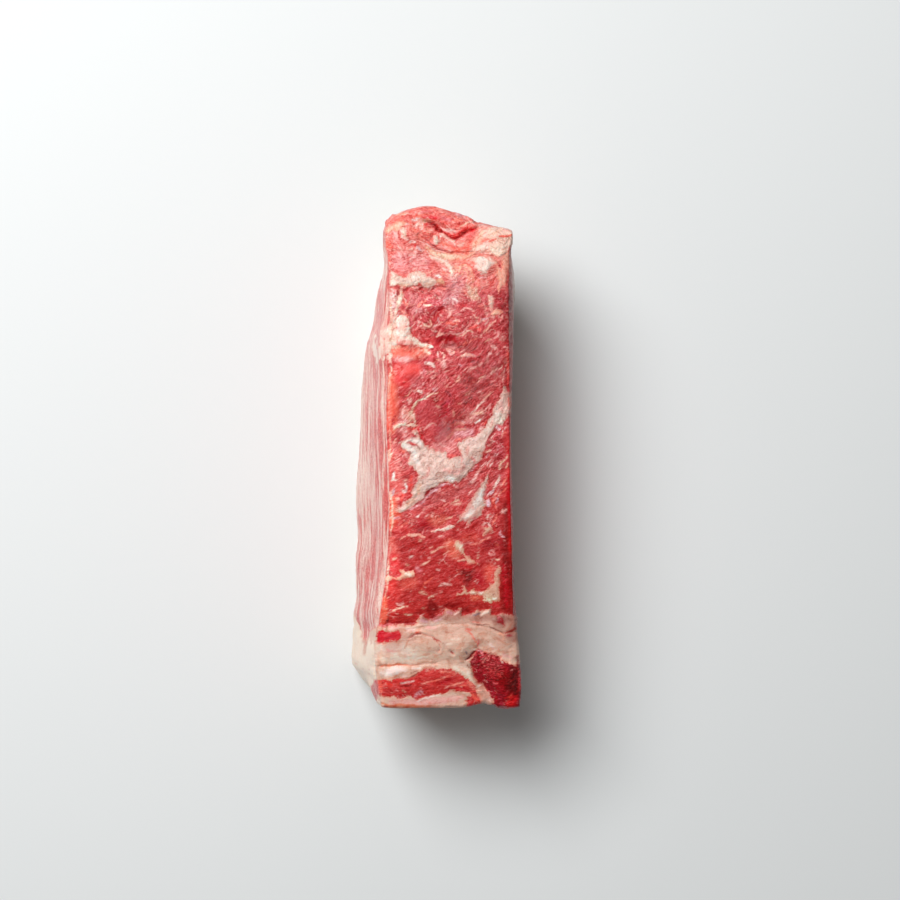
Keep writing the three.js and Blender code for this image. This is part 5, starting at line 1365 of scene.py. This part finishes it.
class Recipe:
    """A material, and a short way to add nodes to it. Values that are nodes' outputs are linked."""

    def __init__(self, name):
        self.material = bpy.data.materials.new(name)
        self.material.use_nodes = True
        self.tree = self.material.node_tree
        self.shader = self.tree.nodes["Principled BSDF"]

    def feed(self, socket, value):
        if isinstance(value, bpy.types.NodeSocket):
            self.tree.links.new(value, socket)
        else:
            socket.default_value = value

    def add(self, kind, inputs, output=0, **settings):
        node = self.tree.nodes.new(kind)
        for name, value in settings.items():
            setattr(node, name, value)
        for key, value in inputs.items():
            self.feed(node.inputs[key], value)
        return node.outputs[output]

    def field(self, name, output="Fac"):
        return self.add("ShaderNodeAttribute", {}, output, attribute_name=name)

    def maths(self, operation, first, second=0.0, third=0.0):
        return self.add("ShaderNodeMath", {0: first, 1: second, 2: third}, operation=operation)

    def times(self, first, second):
        return self.maths("MULTIPLY", first, second)

    def plus(self, first, second):
        return self.maths("ADD", first, second)

    def minus(self, first, second):
        return self.maths("SUBTRACT", first, second)

    def times_plus(self, value, factor, more):
        """A value times a factor, plus some more."""
        return self.maths("MULTIPLY_ADD", value, factor, more)

    def off_middle(self, grains):
        """How far noise is from its middle value, which makes thin curled lines of it."""
        return self.maths("ABSOLUTE", self.minus(grains, 0.5))

    def step(self, value, low, high, to_low=0.0, to_high=1.0):
        """Goes smoothly from to_low to to_high as value goes from low to high."""
        limits = {"Value": value, "From Min": low, "From Max": high, "To Min": to_low, "To Max": to_high}
        return self.add("ShaderNodeMapRange", limits, interpolation_type="SMOOTHSTEP")

    def blend(self, share, first, second):
        """Goes from the first number to the second as share goes from 0 to 1."""
        return self.add("ShaderNodeMix", {0: share, 2: first, 3: second})

    def mix(self, share, first, second, blend_type="MIX"):
        """The same for colours."""
        node = self.tree.nodes.new("ShaderNodeMix")
        node.data_type = "RGBA"
        node.blend_type = blend_type
        self.feed(node.inputs["Factor"], share)
        self.feed(node.inputs["A"], first)
        self.feed(node.inputs["B"], second)
        return node.outputs["Result"]

    def filtered(self, colour, factors):
        """A colour times a factor for each of red, green and blue."""
        return self.mix(1.0, colour, rgba(factors), "MULTIPLY")

    def gamma(self, colour, power):
        """A deeper colour where power is over 1, and a paler one where it is under 1."""
        return self.add("ShaderNodeGamma", {"Color": colour, "Gamma": power})

    def stretched(self, vector, scales):
        return self.add("ShaderNodeVectorMath", {0: vector, 1: scales}, operation="MULTIPLY")

    def grains(self, vector, size, detail=2.0, roughness=0.5, **inputs):
        """Noise with grains of a size, in the vector's own units, from 0 to 1."""
        inputs = {"Vector": vector, "Scale": 1 / size, "Detail": detail, "Roughness": roughness, **inputs}
        return self.add("ShaderNodeTexNoise", inputs)


def rgba(colour):
    return (*[float(c) for c in colour], 1.0)


def shared_parts(r):
    """What several parts of the meat read, kept under a name."""
    r.place = r.add("ShaderNodeTexCoord", {}, "Object")
    r.fibres = r.field("grain", "Vector")
    r.fat, r.marbling, r.side, r.torn = map(r.field, ("fat", "marbling", "side", "torn"))
    r.lively = r.step(r.marbling, 0.02, 0.3, 0.42, 1.0)  # less where it is hardly marbled
    r.crumbs = r.grains(r.place, 0.7 * MM, detail=3.0, roughness=0.6)
    r.specks = r.grains(r.place, 1.5 * MM, detail=4.0, roughness=0.7)
    r.clouds = r.grains(r.place, 2.8 * MM, detail=4.0, roughness=0.6)
    r.flakes = r.grains(r.place, 2.0 * MM, detail=4.0, roughness=0.6, Distortion=0.6)
    r.grit = threads(r, 0.42, 0.55, detail=3.0, roughness=0.7, Distortion=0.4)
    strands = threads(r, 0.4, 0.75, detail=4.0, roughness=0.65)
    r.mostly_torn = r.times(r.torn, 0.6)
    r.strands = r.blend(r.mostly_torn, strands, r.crumbs)


def threads(r, stretch, size, **settings):
    """Grains drawn out along the fibres."""
    return r.grains(r.stretched(r.fibres, (stretch, 1.0, 1.0)), size, **settings)


def fat_depth(r):
    """Fat laid on in given shapes, made ragged along the fibres."""
    ragged = threads(r, 0.45, 1.8, detail=4.0, roughness=0.65)
    wander = r.times_plus(ragged, 2.6, -1.3)
    wander = r.plus(wander, r.times_plus(r.crumbs, 1.4, -0.7))
    return r.plus(r.fat, wander)


def streaky_place(r):
    """Places bent to and fro, for the streaks on the cut faces."""
    wide = {"Vector": r.place, "Scale": 1 / (26 * MM), "Detail": 2.0}
    bends = r.add("ShaderNodeTexNoise", wide, "Color")
    shift = r.stretched(bends, (0.004, 0.0, 0.007))
    return r.add("ShaderNodeVectorMath", {0: r.place, 1: shift}, operation="ADD")


def fine_marbling(r, wavy):
    """Short threads along the fibres, curled thin lines between them, and streaks on the cut faces."""
    pattern = r.blend(r.torn, threads(r, 0.42, 0.8, detail=5.0, roughness=0.75), r.specks)
    threshold = r.times_plus(r.marbling, -0.14, 0.69)
    short = r.step(r.minus(pattern, threshold), -0.02, 0.05)

    curls = threads(r, 0.5, 2.6, detail=3.0, roughness=0.55, Distortion=0.9)
    curled = r.step(r.off_middle(curls), 0.045, 0.012)
    here = r.grains(r.place, 4 * MM, detail=2.0)
    curled = r.times(curled, r.step(r.times_plus(r.marbling, 0.2, here), 0.56, 0.72))
    veins = r.maths("MAXIMUM", r.times(short, 0.65), r.times(curled, 0.45))

    streaks = r.grains(r.stretched(wavy, (1.0, 0.13, 1.0)), 4.2 * MM, detail=5.0, roughness=0.68)
    streaked = r.times_plus(r.marbling, 0.2, streaks)
    return r.blend(r.side, veins, r.step(streaked, 0.58, 0.76))


def blotched_lean(r):
    """Darker and paler blotches and fibres."""
    elsewhere = {0: r.stretched(r.fibres, (0.4, 1.0, 1.0)), 1: (31.0, 17.0, 5.0)}
    fine = r.grains(r.add("ShaderNodeVectorMath", elsewhere), 0.8, detail=4.0, roughness=0.7)
    fine = r.blend(r.mostly_torn, fine, r.specks)
    blotches = threads(r, 0.55, 2.6, detail=4.0, roughness=0.65)
    dabbed = r.step(r.strands, 0.40, 0.50, 0.3, 1.0)
    lean = r.mix(dabbed, r.field("ground", "Color"), r.field("lean_colour", "Color"))
    deep = r.filtered(r.gamma(lean, 1.65), (0.84, 0.8, 0.84))
    paler = r.gamma(lean, 0.62)
    for grains, low, high, most, colour in [
            (blotches, 0.48, 0.32, 0.9, deep), (blotches, 0.52, 0.66, 0.4, paler),
            (fine, 0.50, 0.38, 0.95, deep), (fine, 0.52, 0.64, 0.9, paler)]:
        lean = r.mix(r.times(r.step(grains, low, high, 0.0, most), r.lively), lean, colour)
    return lean


def clouded_fat(r, flaky, thick):
    """Faint pink and ochre clouds, pinker where it is thin, cracked where it is flaky."""
    calm = r.step(r.marbling, 0.1, 0.3, 1.0, 0.4)
    cream = r.field("fat_colour", "Color")
    richer = r.filtered(r.gamma(cream, 1.8), (0.98, 0.9, 0.9))
    cloudy = r.step(r.clouds, 0.48, 0.64, 0.0, 0.6)
    cream = r.mix(r.times(cloudy, r.step(r.side, 0.0, 1.0, calm, 0.3)), cream, richer)
    crumbly = r.step(r.crumbs, 0.48, 0.34, 0.0, 0.7)
    cream = r.mix(r.times(crumbly, r.step(r.fat, 1.4, 0.3, 0.1, 1.0)), cream, richer)
    crack = r.step(r.off_middle(r.flakes), 0.022, 0.006)
    crack = r.times(crack, r.step(r.clouds, 0.44, 0.56, 0.0, 0.8))
    crack = r.times(crack, r.step(flaky, 0.0, 1.0, 0.2, 1.0))
    cream = r.mix(crack, cream, r.filtered(richer, (0.84, 0.62, 0.56)))
    film = r.filtered(cream, (0.94, 0.58, 0.56))
    return r.mix(thick, film, cream), crack


def marbled(r, lean, veins, wavy):
    """Lean with its fine marbling, and darker and paler hairs on the cut faces."""
    # veins on the cut faces are paler: partly painted light, for the side-lit left face
    vein_colour = r.mix(r.side, rgba(srgb(246, 190, 176)), rgba(srgb(250, 218, 204)))
    colour = r.mix(veins, lean, r.mix(0.2, vein_colour, lean))
    hairs = r.grains(r.stretched(wavy, (1.0, 0.09, 0.8)), 1.5 * MM, detail=3.0, roughness=0.65)
    for low, high, hair_colour in [(0.46, 0.38, srgb(200, 66, 66)), (0.56, 0.64, srgb(250, 222, 206))]:
        share = r.times(r.side, r.step(hairs, low, high, 0.0, 0.6))
        colour = r.mix(share, colour, rgba(hair_colour))
    return colour


def gritty(r, colour, laid):
    """The finest grain of all: deeper and paler specks, few of them on fat."""
    deeper = r.filtered(r.gamma(colour, 1.6), (0.8, 0.7, 0.7))
    brighter = r.gamma(colour, 0.55)
    on_lean = r.step(laid, 0.0, 1.0, 1.0, r.step(r.side, 0.0, 1.0, 0.35, 0.06))
    on_lean = r.times(on_lean, r.lively)
    colour = r.mix(r.times(r.step(r.grit, 0.49, 0.37, 0.0, 0.7), on_lean), colour, deeper)
    return r.mix(r.times(r.step(r.grit, 0.51, 0.64, 0.0, 0.6), on_lean), colour, brighter)


def with_tones_painted_light_and_shade(r, colour):
    """The wide tones, which are partly painted light and shade, and the red of the grooves, which is painted
    shade.
    """
    gap = r.field("gap")
    colour = r.mix(1.0, colour, r.field("tone", "Color"), "MULTIPLY")
    # painted shade in the grooves: a deeper red, and a dark crimson at their bottoms
    groove_shaded = r.filtered(colour, (0.78, 0.3, 0.3))
    colour = r.mix(r.step(gap, 0.0, 0.5), colour, groove_shaded)
    return r.mix(r.step(gap, 0.3, 1.0), colour, rgba(srgb(104, 6, 14)))


def relief(r, thick, veins, crack, laid, flaky):
    """Height of the finest unevenness."""
    height = r.times_plus(r.strands, 0.6, r.times(r.crumbs, 0.7))
    chips = r.times(r.times(r.minus(r.flakes, 0.5), flaky), laid)
    for part, share in [(thick, 0.3), (veins, 0.2), (r.grit, 0.5), (r.times(crack, laid), -0.3),
                        (chips, 3.0)]:
        height = r.times_plus(part, share, height)
    return height


def meat():
    """The steak's only material: all the parts together, under a wet and finely uneven surface."""
    r = Recipe("marbled_meat")
    shared_parts(r)
    depth = fat_depth(r)
    laid, thick = r.step(depth, -0.2, 0.2), r.step(depth, -0.1, 1.0)
    flaky = r.times(r.step(r.marbling, 0.1, 0.3), r.minus(1.0, r.side))
    wavy = streaky_place(r)
    veins = fine_marbling(r, wavy)
    cream, crack = clouded_fat(r, flaky, thick)
    colour = r.mix(laid, marbled(r, blotched_lean(r), veins, wavy), cream)
    colour = with_tones_painted_light_and_shade(r, gritty(r, colour, laid))
    height = relief(r, thick, veins, crack, laid, flaky)
    rough = r.step(r.marbling, 0.02, 0.3, 0.6, 1.0)
    bump = r.add("ShaderNodeBump", {"Strength": rough, "Distance": 0.35 * MM, "Height": height})
    for name, value in [("Base Color", colour), ("Normal", bump),
                        ("Roughness", r.step(laid, 0.0, 1.0, 0.3, 0.42))]:
        r.feed(r.shader.inputs[name], value)
    r.shader.inputs["IOR"].default_value = 1.33
    r.shader.inputs["Subsurface Weight"].default_value = 0.22
    r.shader.inputs["Subsurface Radius"].default_value = (1.0, 0.35, 0.25)
    r.shader.inputs["Subsurface Scale"].default_value = 0.5 * MM
    r.shader.inputs["Coat Weight"].default_value = 0.14
    r.shader.inputs["Coat Roughness"].default_value = 0.12
    r.shader.inputs["Coat IOR"].default_value = 1.35
    return r.material


steak = divided_copy(frame["nodes"]["steak"], "raw_steak")
surface = Surface(steak)
lay_ground(surface)
cut_faces(surface)
fibre_flecks(surface)
chine_end(surface)
coarse_muscle(surface)
eye_middle(surface)
bone_fat_patch(surface)
lower_middle(surface)
ridge_lines(surface)
tail(surface)
swirls(surface)
folds(surface)
tones_and_painted_light(surface)
rough_grain(surface)
keep_fields(surface)
carve(surface)
steak.data.materials.append(meat())

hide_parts("steak")
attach(steak, "root")


# ---------------------------------------------------------------- floor, light and camera

def floor():
    bpy.ops.mesh.primitive_plane_add(size=6)
    plane = bpy.context.active_object
    plane.name = "floor"
    pale = bpy.data.materials.new("pale_floor")
    pale.use_nodes = True
    shader = pale.node_tree.nodes["Principled BSDF"]
    shader.inputs["Base Color"].default_value = (0.745, 0.765, 0.765, 1)
    shader.inputs["Roughness"].default_value = 0.7
    shader.inputs["Specular IOR Level"].default_value = 0.3
    plane.data.materials.append(pale)


def softbox(name, direction, distance, size, power):
    """A square lamp that faces the steak from a direction."""
    lamp = bpy.data.lights.new(name, "AREA")
    lamp.size = size
    lamp.energy = power
    holder = bpy.data.objects.new(name, lamp)
    holder.location = Vector(direction).normalized() * distance
    holder.rotation_euler = Vector(direction).to_track_quat("Z", "Y").to_euler()
    bpy.context.scene.collection.objects.link(holder)


def daylight(strength):
    world = bpy.data.worlds.new("daylight")
    world.use_nodes = True
    world.node_tree.nodes["Background"].inputs["Color"].default_value = (1, 1, 1, 1)
    world.node_tree.nodes["Background"].inputs["Strength"].default_value = strength
    bpy.context.scene.world = world


def camera():
    lens = bpy.data.cameras.new("camera")
    lens.lens = 100
    lens.sensor_width = 36
    eye = bpy.data.objects.new("camera", lens)
    eye.location = (MIDDLE[0] * MM, MIDDLE[1] * MM, (HEIGHT + EYE_HEIGHT) * MM)
    bpy.context.scene.collection.objects.link(eye)
    bpy.context.scene.camera = eye


floor()
softbox("window", direction=(-0.36, 0.44, 0.82), distance=1.35, size=0.84, power=22.3)
daylight(0.15)
camera()
bpy.context.scene.view_settings.view_transform = "Standard"
